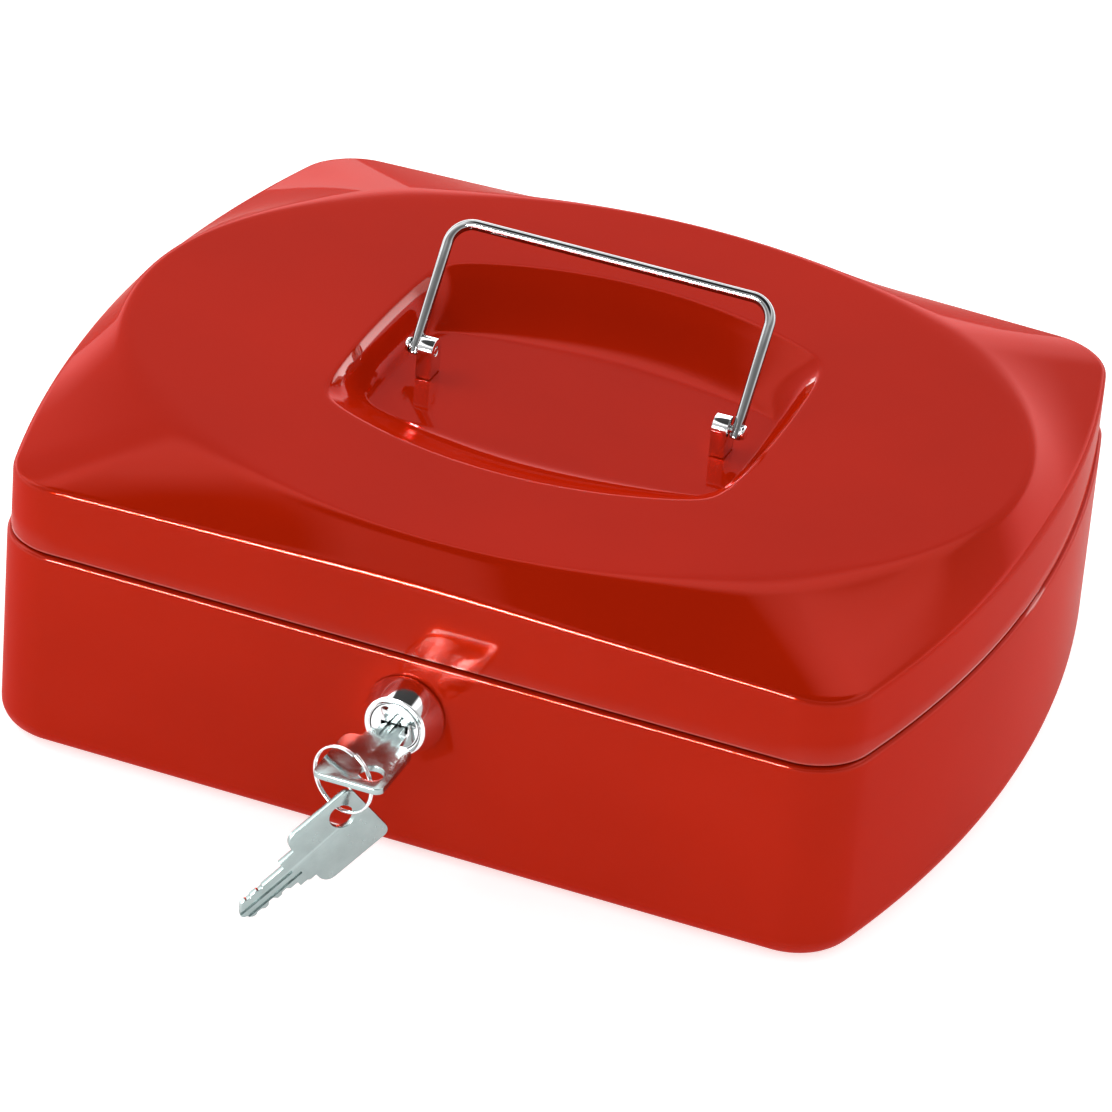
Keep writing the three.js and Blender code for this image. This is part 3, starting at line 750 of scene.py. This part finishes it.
def eased_corner(before, corner, after, distance, steps, guard=0.0005):
    """Rings round a fold, with one guard ring on either side so that flat faces stay flat."""
    distance = np.broadcast_to(np.asarray(distance, float), len(corner))[:, None]
    start, end = toward(corner, before, distance), toward(corner, after, distance)
    rings = [toward(corner, before, distance + guard)]
    for t in np.linspace(0, 1, steps):
        rings.append((1 - t) ** 2 * start + 2 * t * (1 - t) * corner + t * t * end)
    rings.append(toward(corner, after, distance + guard))
    return rings


def lid_rings():
    """From the hem up the skirt, over the shoulder and the oval, and down into the recess."""
    b = body()
    outline = plan_outline(b.lid_inset)
    angles = np.arctan2(outline[:, 1], outline[:, 0])
    oval_radius = 1 / np.hypot(np.cos(angles) / b.oval_x, np.sin(angles) / b.oval_y)
    rim_radius = barrel_radius(0.0548, 0.0528, 0.350, 0.105, angles)
    floor_radius = barrel_radius(0.0472, 0.0262, 0.400, 0.260, angles, 18)
    hem = level(outline, b.lid_bottom)
    shoulder = shoulder_ring(b.lid_inset)
    oval = polar(oval_radius, angles, b.top)
    rim = polar(rim_radius, angles, b.top)
    floor_z = b.top - b.recess_depth
    below_rim = polar(rim_radius + (floor_radius - rim_radius) * 0.12, angles, b.top - 0.0016)
    slope = np.linalg.norm(oval - shoulder, axis=1)
    rings = [hem, *(level(outline, z) for z in (b.lid_bottom + GUARD, (b.lid_bottom + b.shoulder) / 2))]
    rings += eased_corner(hem, shoulder, oval, 0.0019, 9)
    rings += [shoulder + (oval - shoulder) * share for share in (0.3, 0.5, 0.7)]
    rings += eased_corner(shoulder, oval, rim, np.clip(slope * 0.14, 0.0010, 0.0045), 9)
    rings += [oval + (rim - oval) * share for share in (0.3, 0.6, 0.85)]
    rings += eased_corner(oval, rim, below_rim, 0.0011, 7, 0.0004)
    for share in np.linspace(0.16, 1, 22):
        fall = 0.5 * share**2 * (3 - 2 * share) + 0.5 * (1 - (1 - share) ** 2)
        radius = rim_radius + (floor_radius - rim_radius) * share
        rings.append(polar(radius, angles, b.top - b.recess_depth * fall))
    rings += [polar(floor_radius * share, angles, floor_z) for share in (0.98, 0.8, 0.5, 0.2, 0.02)]
    return rings


def make_lid():
    piece = pressed("lid_cover", lid_rings(), body().sheet, gloss_enamel, pole_at_end=True)
    hand_over(piece, "lid", "red_enamel", "lid_shell")


# ---- handle


def bail_tree():
    """A rod that follows a bent path, with its bends rounded."""
    h = handle()
    tree = Tree("bent_rod")
    rod = tree.input("Rod radius", FLOAT, h.rod)
    bend = tree.input("Bend radius", FLOAT, h.bend)
    paint = tree.input("Plating", PAINT, material(rod_chrome))
    path = tree.node("GeometryNodeMeshToCurve", {"Mesh": tree.start.outputs["Geometry"]})
    bends = {"Curve": path.outputs[0], "Radius": bend, "Count": 14}
    bent = tree.node("GeometryNodeFilletCurve", bends, mode="POLY")
    tree.rod(bent.outputs[0], rod, 28, paint)
    return tree


def make_bail():
    h = handle()
    path = bpy.data.meshes.new("bail_path")
    x, z = h.half_width, h.reach
    corners = [(-x, 0, -h.tail), (-x, 0, z), (x, 0, z), (x, 0, -h.tail)]
    path.from_pydata(corners, [(0, 1), (1, 2), (2, 3)], [])
    piece = ease_edges(bail_tree().run("bail_bar", path), 0.00025, 2, 60)
    lean = Matrix.Rotation(-h.lean, 4, "X")
    place(piece, Matrix.Translation((0, 0, h.pivot_height)) @ lean)
    hand_over(piece, "handle", "chrome_handle", "handle_bail")


def make_posts():
    for side, sign in (("left", -1), ("right", 1)):
        node = f"handle_post_{side}"
        stand_in(node, f"post_{side}", 0.00045, bright_chrome, "lid", "chrome_handle", 3)
        hand_over(make_pin(side, sign), "lid", "chrome_handle", f"handle_pin_{side}")
        node = f"handle_washer_{side}"
        stand_in(node, f"washer_{side}", 0.00015, zinc_plate, "lid", "zinc_hardware")


def make_pin(side, sign):
    """The pin through post and leg, with a rounded head outside the leg."""
    low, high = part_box(f"handle_pin_{side}")
    size = high.x - low.x
    shank, brim, crown, under_head = 0.00098, 0.0019, 0.0018, size - 0.001
    corners = [(0, 0), (shank, 0), (shank, under_head), (brim, under_head), (crown, size), (0, size)]
    profile = eased_profile(corners, [0.0002, 0, 0.0002, 0.0006])
    piece = turned(f"pin_{side}", profile, 40, bright_chrome)
    start = high.x if sign < 0 else low.x
    turn = Matrix.Rotation(sign * -math.pi / 2, 4, "Z")
    return place(piece, Matrix.Translation((start, 0, handle().pivot_height)) @ turn)


# ---- lock

BARREL_BACK = 0.014
BARREL_RADIUS = 0.0080
PLUG_BACK = 0.0155
CAM_THICKNESS = 0.0023


def thread(radius, root, start, stop, pitch):
    """Profile points of a fine thread along the barrel."""
    points = []
    y = start
    while y + pitch <= stop:
        points += [(radius, y + pitch * 0.1), (root, y + pitch * 0.55), (radius, y + pitch)]
        y += pitch
    return points


def on_lock_axis(piece):
    """Moves a piece made about the origin to the lock's place in the front wall."""
    return place(piece, Matrix.Translation((0, -body().depth / 2, lock().height)))


def make_barrel():
    k = lock()
    play = 0.0002
    bore = k.plug + play
    nose = eased_profile(
        [
            (bore, 0.002),
            (bore, -k.face + play),
            (bore + play, -k.face),
            (k.front, -k.face),
            (k.back, -0.0011),
            (k.back, -0.0003),
            (BARREL_RADIUS, -0.0003),
        ],
        [0.0001, 0.0001, 0.00055, 0.0003, 0.0002],
    )
    screw = thread(BARREL_RADIUS, 0.00755, 0.0012, BARREL_BACK - 0.0006, 0.001)
    profile = [*nose, *screw, (0.0077, BARREL_BACK), (bore, BARREL_BACK)]
    piece = on_lock_axis(turned("barrel", profile, 96, bright_chrome, closed=True))
    hand_over(piece, "base", "chrome_lock", "lock_barrel")


def slot_cutter(name, x0, x1, half):
    """Cuts the plug from its face to 7.5 mm behind the wall, from x0 to x1 and half up and down."""
    return box_cutter(name, (x0, -0.0085, -half), (x1, 0.0075, half))


def make_plug():
    k = lock()
    front, back = -k.face + 0.00015, PLUG_BACK
    corners = [(0, front), (k.plug, front), (k.plug, back), (0, back)]
    piece = turned("plug", eased_profile(corners, [0.00035, 0.0003]), 72, bright_chrome)
    cutters = [
        slot_cutter("slot", -0.00355, 0.00355, 0.00105),
        slot_cutter("ward_a", -0.0016, -0.0009, 0.0015),
        slot_cutter("ward_b", 0.0012, 0.0019, 0.0016),
        box_cutter("screw_bore", (-0.0015, back - 0.005, -0.0015), (0.0015, back + 0.001, 0.0015)),
    ]
    cut_away(piece, cutters)
    tenon = box_cutter("tenon", (-0.0025, back - 0.0002, -0.0025), (0.0025, back + 0.002, 0.0025))
    merge(piece, [tenon])
    hand_over(on_lock_axis(piece), "plug", "chrome_lock", "lock_plug")


def make_lock_fittings():
    stand_in("lock_nut", "barrel_nut", 0.0003, zinc_plate, "base", "zinc_hardware")
    stand_in("lock_cam", "cam", 0.0002, dark_steel, "plug", "cam_steel")
    stand_in("lid_catch", "catch", 0.0002, zinc_plate, "lid", "zinc_hardware")
    seat = PLUG_BACK + CAM_THICKNESS
    shank, head, start, top = 0.0014, 0.0036, seat - 0.006, seat + 0.002
    corners = [(0, start), (shank, start), (shank, seat), (head, seat), (head, seat + 0.0014)]
    corners += [(0.0026, top), (0, top)]
    profile = eased_profile(corners, [0, 0, 0.0002, 0.0003, 0.0002])
    screw = turned("cam_screw_head", profile, 48, zinc_plate)
    low, high = seat + 0.0011, seat + 0.003
    cross = [
        box_cutter("cross", (-long, low, -wide), (long, high, wide))
        for long, wide in ((0.0017, 0.00035), (0.00035, 0.0017))
    ]
    cut_away(screw, cross)
    hand_over(on_lock_axis(screw), "plug", "zinc_hardware", "cam_screw")


# ---- keys and ring

# the hole in a key's bow, in millimetres
HOLE_X, HOLE_Y, HOLE_RADIUS = 6.3, 3.8, 3.1
GROOVE_DEPTH = 0.00042
COIL_WIDTH, WIRE_RADIUS = 0.00115, 0.00032


def arc_points(cx, cy, radius, start, stop, steps=9):
    angles = np.radians(np.linspace(start, stop, steps))
    return [(cx + radius * math.cos(a), cy + radius * math.sin(a)) for a in angles]


def key_outline():
    """Bow, stop collar and blade in the key's own plane; the bow's far edge is on x = 0."""
    k = lock()
    bow, end = k.bow_width / 2 / MM, k.bow_length / MM
    collar = end + 4.5
    lower = [(end, -4.9), (end + 1.9, -4.9), (end + 2.3, -4.4), (collar, -4.4), (collar, -3.1)]
    cuts = [(27.2, -3.1), (27.9, -2.3), (29.1, -2.3), (29.8, -2.9), (31.0, -2.9), (31.8, -1.9)]
    cuts += [(33.0, -1.9), (33.9, -2.8), (35.0, -2.8), (35.6, -2.2), (36.8, -2.2), (37.6, -2.6)]
    tip = [(38.4, -2.4), (40.2, -0.7), (40.5, 0.0), (40.2, 0.7), (38.3, 3.0)]
    upper = [(37.0, 3.1), (36.6, 2.75), (35.6, 2.75), (35.2, 3.1), (33.4, 3.1), (33.0, 2.7)]
    upper += [(32.0, 2.7), (31.6, 3.1), (collar, 3.1), (collar, 4.9), (end, 4.9)]
    points = [
        *arc_points(2.2, -bow + 2.2, 2.2, 180, 270),
        *arc_points(end - 3, -bow + 3, 3, 270, 360),
        *lower,
        *cuts,
        *tip,
        *upper,
        *arc_points(end - 3, bow - 3, 3, 0, 90),
        *arc_points(2.2, bow - 2.2, 2.2, 90, 180),
    ]
    return [(x * MM, y * MM) for x, y in points]


def make_key(name):
    """A key with its hole and two grooves along each face of the blade."""
    k = lock()
    rim = arc_points(HOLE_X, HOLE_Y, HOLE_RADIUS, 360, 0, 49)[:-1]
    hole = [(x * MM, y * MM) for x, y in rim]
    piece = flat_plate(name, [key_outline(), hole], k.key_thickness, 0.00022, satin_nickel, 3)
    half = k.key_thickness / 2
    grooves = []
    for face in (-1, 1):
        low, high = sorted((face * (half + 0.0002), face * (half - GROOVE_DEPTH)))
        for middle, width, start in ((1.25, 0.8, 22.5), (-0.75, 0.9, 24.0)):
            y0, y1 = ((middle * face + sign * width / 2) * MM for sign in (-1, 1))
            grooves.append(box_cutter("groove", (start * MM, y0, low), (0.042, y1, high)))
    return cut_away(piece, grooves)


def basis(x_axis, y_axis, z_axis, origin):
    """The matrix that puts a piece's own axes along these, at this origin."""
    turn = Matrix((x_axis, y_axis, z_axis)).transposed().to_4x4()
    return Matrix.Translation(origin) @ turn


def make_key_in_lock():
    low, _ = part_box("key_in_lock")
    piece = make_key("key")
    place(piece, basis((0, 1, 0), (1, 0, 0), (0, 0, -1), (0, low.y, lock().height)))
    hand_over(piece, "key", "nickel_key", "key_in_lock")


def ring_centre():
    low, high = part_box("key_ring")
    return (low + high) / 2


def make_ring():
    """The split ring: a flat coil of two turns, grown along a spiral path."""
    k = lock()
    tree = Tree("coil_of_wire")
    radius = tree.input("Ring radius", FLOAT, k.ring_radius)
    turns = tree.input("Turns", FLOAT, float(k.ring_turns))
    width = tree.input("Coil width", FLOAT, COIL_WIDTH)
    wire = tree.input("Wire radius", FLOAT, WIRE_RADIUS)
    paint = tree.input("Plating", PAINT, material(bright_chrome))
    spiral = {"Resolution": 96, "Rotations": turns, "Height": width}
    spiral |= {"Start Radius": radius, "End Radius": radius}
    path = tree.node("GeometryNodeCurveSpiral", spiral)
    tree.rod(path.outputs[0], wire, 14, paint)
    piece = tree.run("split_ring", bpy.data.meshes.new("split_ring"), 60)
    along, up = Vector((0.96, -0.28, 0)).normalized(), Vector((0, 0, 1))
    start = Matrix.Rotation(math.radians(70), 4, "Z")
    middle = Matrix.Translation((0, 0, -COIL_WIDTH / 2))
    place(piece, basis(along, up, -up.cross(along), ring_centre()) @ middle @ start)
    hand_over(piece, "ring", "nickel_key", "key_ring")


def make_spare_key():
    """Hangs the spare key from the bottom of the ring."""
    slope = math.radians(39)
    heading, up = Vector((-0.72, -0.69, 0)).normalized(), Vector((0, 0, 1))
    along = heading * math.cos(slope) - up * math.sin(slope)
    across = heading * math.sin(slope) + up * math.cos(slope)
    hole = ring_centre() - up * (lock().ring_radius + 0.0016)
    origin = hole - along * (HOLE_X * MM) - across * (HOLE_Y * MM)
    piece = make_key("second_key")
    place(piece, basis(along, across, along.cross(across), origin))
    hand_over(piece, "spare", "nickel_key", "spare_key")


# ---- hinges


def rivet_tree(template):
    """Repeats a rivet over the points of a mesh."""
    tree = Tree("rivet_row")
    shape = tree.input("Rivet", OBJECT, template)
    paint = tree.input("Plating", PAINT, material(zinc_plate))
    info = tree.node("GeometryNodeObjectInfo", {"Object": shape, "As Instance": True})
    points = tree.node("GeometryNodeMeshToPoints", {"Mesh": tree.start.outputs["Geometry"]})
    spread = {"Points": points.outputs[0], "Instance": info.outputs["Geometry"]}
    rows = tree.node("GeometryNodeInstanceOnPoints", spread)
    tree.end(rows.outputs[0], paint)
    return tree


def make_rivets():
    """Four domed rivets for each half of the hinges, repeated over the leaf holes."""
    for half in ("base", "lid"):
        nodes = [f"hinge_{side}_{half}_rivet_{n}" for side in ("left", "right") for n in (1, 2)]
        low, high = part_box(nodes[0])
        size = high.y - low.y
        shank, head = 0.00118, 0.0022
        corners = [(0, 0), (0.0021, 0.0001), (head, 0.0007), (shank, 0.0007), (shank, size - 0.0010)]
        corners += [(head, size - 0.0010), (0.0019, size - 0.0002), (0.0009, size), (0, size)]
        eases = [0.0002, 0.0002, 0, 0, 0.0001, 0.0004, 0.0003]
        template = turned("rivet", eased_profile(corners, eases, 4), 28, zinc_plate)
        points = []
        for node in nodes:
            low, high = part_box(node)
            points.append(((low.x + high.x) / 2, low.y, (low.z + high.z) / 2))
        spots = bpy.data.meshes.new("rivet_spots")
        spots.from_pydata(points, [], [])
        piece = rivet_tree(template).run(f"rivets_{half}", spots)
        bpy.data.objects.remove(template)
        hand_over(piece, half, "zinc_hardware", *nodes)


def make_hinges():
    for side in ("left", "right"):
        for kind, name, edge, part_body in (
            ("base_leaf", f"base_leaf_{side}", 0.00025, "base"),
            ("lid_leaf", f"lid_leaf_{side}", 0.00025, "lid"),
            ("pin", f"hinge_pin_{side}", 0.0002, "base"),
        ):
            stand_in(f"hinge_{side}_{kind}", name, edge, zinc_plate, part_body, "zinc_hardware")


# ---- coin tray

TRAY_TOP, TRAY_FLOOR, TRAY_FRONT = 0.0600, 0.0303, -0.0740
PLATE_THICKNESS = 0.0016
WELL_GAP, WELL_DRAFT = 0.0025, 0.0012
WELL_ROWS = (
    # wells in the row, half length, front, rear, fold radius
    (5, 0.106, -0.0715, -0.0165, 0.011),
    (3, 0.101, -0.0135, 0.0865, 0.005),
)


def soft_rectangle(x0, x1, y0, y1, radius):
    corners = ((x1, y1, 0), (x0, y1, 90), (x0, y0, 180), (x1, y0, 270))
    points = []
    for x, y, start in corners:
        cx = x - radius if x == x1 else x + radius
        cy = y - radius if y == y1 else y + radius
        points += arc_points(cx, cy, radius, start, start + 90, 7)
    return points


def tray_outline(inset, front):
    """The box's plan set in, and cut straight behind the lock."""
    points = plan_outline(inset, TRAY_STEPS)
    kept = [tuple(p) for p in points if p[1] > front + 0.0005]
    rear = max(range(len(kept)), key=lambda i: (kept[i][0] < 0, -kept[i][1]))
    kept = kept[rear + 1 :] + kept[: rear + 1]
    radius, centre = side_circle()
    edge_x = centre + math.sqrt((radius - inset) ** 2 - front**2)
    return [(-edge_x, front), (edge_x, front), *kept]


def wells():
    """Five coin wells along the front and three large ones behind."""
    rows = []
    for count, half, y0, y1, fold in WELL_ROWS:
        width = (2 * half - (count - 1) * WELL_GAP) / count
        for i in range(count):
            x0 = -half + i * (width + WELL_GAP)
            rows.append((x0, x0 + width, y0, y1, fold))
    return rows


def well_cup(index, x0, x1, y0, y1, fold):
    """One drafted cup, folded round into its floor."""
    top, floor = TRAY_TOP, TRAY_FLOOR
    levels = [(0.0, top), (0.0001, top - 0.0004), (0.0004, top - 0.0011), (0.0005, top - 0.0017)]
    levels.append((WELL_DRAFT, floor + fold + GUARD))
    for t in quarter(0, 90, 9):
        levels.append((WELL_DRAFT + fold * (1 - math.cos(t)), floor + fold * (1 - math.sin(t))))
    levels.append((WELL_DRAFT + fold + GUARD, floor))
    rings = []
    for inset, z in levels:
        radius = max(0.0015, 0.005 - inset * 0.2)
        outline = soft_rectangle(x0 + inset, x1 - inset, y0 + inset, y1 - inset, radius)
        rings.append(level(np.array(outline), z))
    middle = np.array([(x0 + x1) / 2, (y0 + y1) / 2, floor])
    rings += [middle + (rings[-1] - middle) * share for share in (0.6, 0.2)]
    count = len(rings[0])
    vertices = [*np.concatenate(rings), middle]
    faces = walls(rings, inward=True)
    last = (len(rings) - 1) * count
    faces += [(last + i, len(vertices) - 1, last + (i + 1) % count) for i in range(count)]
    mesh = mesh_of(f"well_{index}", vertices, faces)
    with editing(mesh) as bm:
        bmesh.ops.recalc_face_normals(bm, faces=bm.faces)
        if max(bm.faces, key=lambda f: -f.calc_center_median().z).normal.z < 0:
            bmesh.ops.reverse_faces(bm, faces=bm.faces)
    return thicken(link(f"well_{index}", mesh, black_plastic), 0.0012)


def make_tray():
    """A plate with a hole for each well, the cups under it and a skirt round it."""
    middle = TRAY_TOP - PLATE_THICKNESS / 2
    holes = [soft_rectangle(x0, x1, y0, y1, 0.005)[::-1] for x0, x1, y0, y1, _ in wells()]
    outlines = [tray_outline(0.0052, TRAY_FRONT), *holes]
    plate = flat_plate("tray", outlines, PLATE_THICKNESS, 0.00035, black_plastic)
    place(plate, Matrix.Translation((0, 0, middle)))
    cups = [well_cup(index, *well) for index, well in enumerate(wells())]
    line = np.array(tray_outline(0.0072, TRAY_FRONT + 0.0015))
    rings = [level(line, z) for z in (0.0283, 0.0289, 0.045, middle)]
    skirt = pressed("skirt", rings, 0.0014, black_plastic)
    merge(plate, [*cups, skirt])
    hand_over(plate, "base", "tray_plastic", "coin_tray")


def make_rests():
    for side in ("left", "right"):
        node = f"tray_rest_{side}"
        stand_in(node, f"rest_{side}", 0.0002, gloss_enamel, "base", "red_enamel")


# ---- stage

FLOOR_HALF, FLOOR_Z = 6.0, -0.0001
LENS_MM, SENSOR_MM = 215.72, 36
AZIMUTH, ELEVATION, ROLL = (math.radians(v) for v in (19.83, 30.88, 4.81))
VIEW_TARGET, VIEW_DISTANCE = Vector((-0.0013, 0, 0.03067)), 1.68782
# brightness of the surround from straight down at 0 to straight up at 1
SURROUND = (
    (0.0, 0.9),
    (0.5, 2.4),
    (0.56, 2.4),
    (0.66, 0.9),
    (0.83, 0.9),
    (0.87, 2.0),
    (0.91, 1.9),
    (0.94, 0.05),
)
BRIGHT_SIDE = (-0.4, 0.92, 0)
DIM_STRENGTH, BRIGHT_STRENGTH = 0.32, 1.9


def aim(thing, target):
    thing.rotation_euler = (Vector(target) - thing.location).to_track_quat("-Z", "Y").to_euler()


def soft_light(name, place_at, target, size, power):
    data = bpy.data.lights.new(name, "AREA")
    data.shape = "RECTANGLE"
    data.size, data.size_y = size
    data.energy = power
    lamp = link(name, data)
    lamp.location = place_at
    aim(lamp, target)
    return lamp


def make_camera():
    data = bpy.data.cameras.new("camera")
    data.sensor_width = SENSOR_MM
    data.lens = LENS_MM
    data.clip_start, data.clip_end = 0.05, 50
    camera = link("camera", data)
    level_part = math.cos(ELEVATION)
    back = Vector(
        (math.sin(AZIMUTH) * level_part, -math.cos(AZIMUTH) * level_part, math.sin(ELEVATION))
    )
    right = Vector((math.cos(AZIMUTH), math.sin(AZIMUTH), 0))
    up = back.cross(right)
    rolled_right = right * math.cos(ROLL) + up * math.sin(ROLL)
    rolled_up = up * math.cos(ROLL) - right * math.sin(ROLL)
    camera.matrix_world = basis(rolled_right, rolled_up, back, VIEW_TARGET + back * VIEW_DISTANCE)
    bpy.context.scene.camera = camera


def make_world():
    """A soft surround, bright at the horizon and in a ring high up, dark overhead, brighter behind."""
    world = bpy.data.worlds.new("studio")
    world.use_nodes = True
    nodes, links = world.node_tree.nodes, world.node_tree.links
    background = nodes["Background"]
    direction = nodes.new("ShaderNodeTexCoord").outputs["Generated"]

    def share(socket, low=0.0, high=1.0):
        """Takes -1 to 1 to the range from low to high."""
        node = nodes.new("ShaderNodeMapRange")
        for label, number in (("From Min", -1), ("To Min", low), ("To Max", high)):
            node.inputs[label].default_value = number
        links.new(socket, node.inputs["Value"])
        return node.outputs[0]

    split = nodes.new("ShaderNodeSeparateXYZ")
    links.new(direction, split.inputs[0])
    ramp = nodes.new("ShaderNodeValToRGB")
    while len(ramp.color_ramp.elements) < len(SURROUND):
        ramp.color_ramp.elements.new(0.5)
    for element, (position, value) in zip(ramp.color_ramp.elements, SURROUND):
        element.position = position
        element.color = (value, value, value, 1)
    links.new(share(split.outputs["Z"]), ramp.inputs[0])
    links.new(ramp.outputs[0], background.inputs[0])
    facing = nodes.new("ShaderNodeVectorMath")
    facing.operation = "DOT_PRODUCT"
    facing.inputs[1].default_value = BRIGHT_SIDE
    links.new(direction, facing.inputs[0])
    strength = share(facing.outputs["Value"], DIM_STRENGTH, BRIGHT_STRENGTH)
    links.new(strength, background.inputs[1])
    bpy.context.scene.world = world


def make_stage():
    signs = ((-1, -1), (1, -1), (1, 1), (-1, 1))
    corners = [(x * FLOOR_HALF, y * FLOOR_HALF, FLOOR_Z) for x, y in signs]
    floor = link("floor", mesh_of("floor", corners, [(0, 1, 2, 3)]), studio_floor)
    middle = (0, 0, 0.04)
    strip = soft_light("front_strip", (-0.43, -1.42, 0.50), middle, (0.5, 0.26), 70)
    strip.visible_diffuse = False
    soft_light("left", (-1.5, -0.2, 1.0), middle, (0.8, 0.8), 5)
    make_world()
    make_camera()
    bpy.context.scene.view_settings.view_transform = "Standard"


# ---- operators and panel


class Step:
    """What the operators below share"""

    bl_options = {"REGISTER", "UNDO"}


class CASHBOX_OT_base(Step, Operator):
    """Press the base shell with its rolled rim and inner lip"""

    bl_idname = "cashbox.base"
    bl_label = "Base"

    def execute(self, context):
        make_base()
        return {"FINISHED"}


class CASHBOX_OT_lid(Step, Operator):
    """Press the lid with its oval top and handle recess"""

    bl_idname = "cashbox.lid"
    bl_label = "Lid"

    def execute(self, context):
        make_lid()
        return {"FINISHED"}


class CASHBOX_OT_bail(Step, Operator):
    """Bend the carrying bail"""

    bl_idname = "cashbox.bail"
    bl_label = "Bail"

    def execute(self, context):
        make_bail()
        return {"FINISHED"}


class CASHBOX_OT_posts(Step, Operator):
    """Make the handle posts, pins and washers"""

    bl_idname = "cashbox.posts"
    bl_label = "Posts"

    def execute(self, context):
        make_posts()
        return {"FINISHED"}


class CASHBOX_OT_barrel(Step, Operator):
    """Turn the lock's barrel"""

    bl_idname = "cashbox.barrel"
    bl_label = "Lock barrel"

    def execute(self, context):
        make_barrel()
        return {"FINISHED"}


class CASHBOX_OT_plug(Step, Operator):
    """Turn the plug and cut its keyway"""

    bl_idname = "cashbox.plug"
    bl_label = "Lock plug"

    def execute(self, context):
        make_plug()
        return {"FINISHED"}


class CASHBOX_OT_fittings(Step, Operator):
    """Make the nut, cam, cam screw and catch"""

    bl_idname = "cashbox.fittings"
    bl_label = "Lock fittings"

    def execute(self, context):
        make_lock_fittings()
        return {"FINISHED"}


class CASHBOX_OT_key(Step, Operator):
    """Cut the key that is in the lock"""

    bl_idname = "cashbox.key"
    bl_label = "Key"

    def execute(self, context):
        make_key_in_lock()
        return {"FINISHED"}


class CASHBOX_OT_ring(Step, Operator):
    """Coil the split ring"""

    bl_idname = "cashbox.ring"
    bl_label = "Ring"

    def execute(self, context):
        make_ring()
        return {"FINISHED"}


class CASHBOX_OT_spare(Step, Operator):
    """Cut the spare key on the ring"""

    bl_idname = "cashbox.spare"
    bl_label = "Spare key"

    def execute(self, context):
        make_spare_key()
        return {"FINISHED"}


class CASHBOX_OT_hinges(Step, Operator):
    """Make the hinge leaves and pins"""

    bl_idname = "cashbox.hinges"
    bl_label = "Hinges"

    def execute(self, context):
        make_hinges()
        return {"FINISHED"}


class CASHBOX_OT_rivets(Step, Operator):
    """Set the hinge rivets"""

    bl_idname = "cashbox.rivets"
    bl_label = "Rivets"

    def execute(self, context):
        make_rivets()
        return {"FINISHED"}


class CASHBOX_OT_tray(Step, Operator):
    """Mould the coin tray"""

    bl_idname = "cashbox.tray"
    bl_label = "Coin tray"

    def execute(self, context):
        make_tray()
        return {"FINISHED"}


class CASHBOX_OT_rests(Step, Operator):
    """Fold the two tray rests"""

    bl_idname = "cashbox.rests"
    bl_label = "Tray rests"

    def execute(self, context):
        make_rests()
        return {"FINISHED"}


class CASHBOX_OT_stage(Step, Operator):
    """Lay the floor, the light and the camera"""

    bl_idname = "cashbox.stage"
    bl_label = "Stage"

    def execute(self, context):
        make_stage()
        return {"FINISHED"}


STEPS = (
    CASHBOX_OT_base,
    CASHBOX_OT_lid,
    CASHBOX_OT_bail,
    CASHBOX_OT_posts,
    CASHBOX_OT_barrel,
    CASHBOX_OT_plug,
    CASHBOX_OT_fittings,
    CASHBOX_OT_key,
    CASHBOX_OT_ring,
    CASHBOX_OT_spare,
    CASHBOX_OT_hinges,
    CASHBOX_OT_rivets,
    CASHBOX_OT_tray,
    CASHBOX_OT_rests,
    CASHBOX_OT_stage,
)


class CASHBOX_PT_build(Panel):
    """Lists the steps that build the cash box"""

    bl_label = "Cash Box"
    bl_idname = "CASHBOX_PT_build"
    bl_space_type = "VIEW_3D"
    bl_region_type = "UI"
    bl_category = "Cash Box"

    def draw(self, context):
        column = self.layout.column(align=True)
        for maker in STEPS:
            column.operator(maker.bl_idname)


GROUPS = {
    "cash_box_body": CashBoxBody,
    "cash_box_handle": CashBoxHandle,
    "cash_box_lock": CashBoxLock,
    "cash_box_finish": CashBoxFinish,
}


def register():
    for entry in (*GROUPS.values(), *STEPS, CASHBOX_PT_build):
        bpy.utils.register_class(entry)
    for name, kind in GROUPS.items():
        setattr(bpy.types.Scene, name, PointerProperty(type=kind))


def unregister():
    for name in GROUPS:
        delattr(bpy.types.Scene, name)
    for entry in (CASHBOX_PT_build, *reversed(STEPS), *GROUPS.values()):
        bpy.utils.unregister_class(entry)


def main():
    register()
    for maker in STEPS:
        getattr(bpy.ops.cashbox, maker.bl_idname.split(".")[1])()


if __name__ == "__main__":
    main()
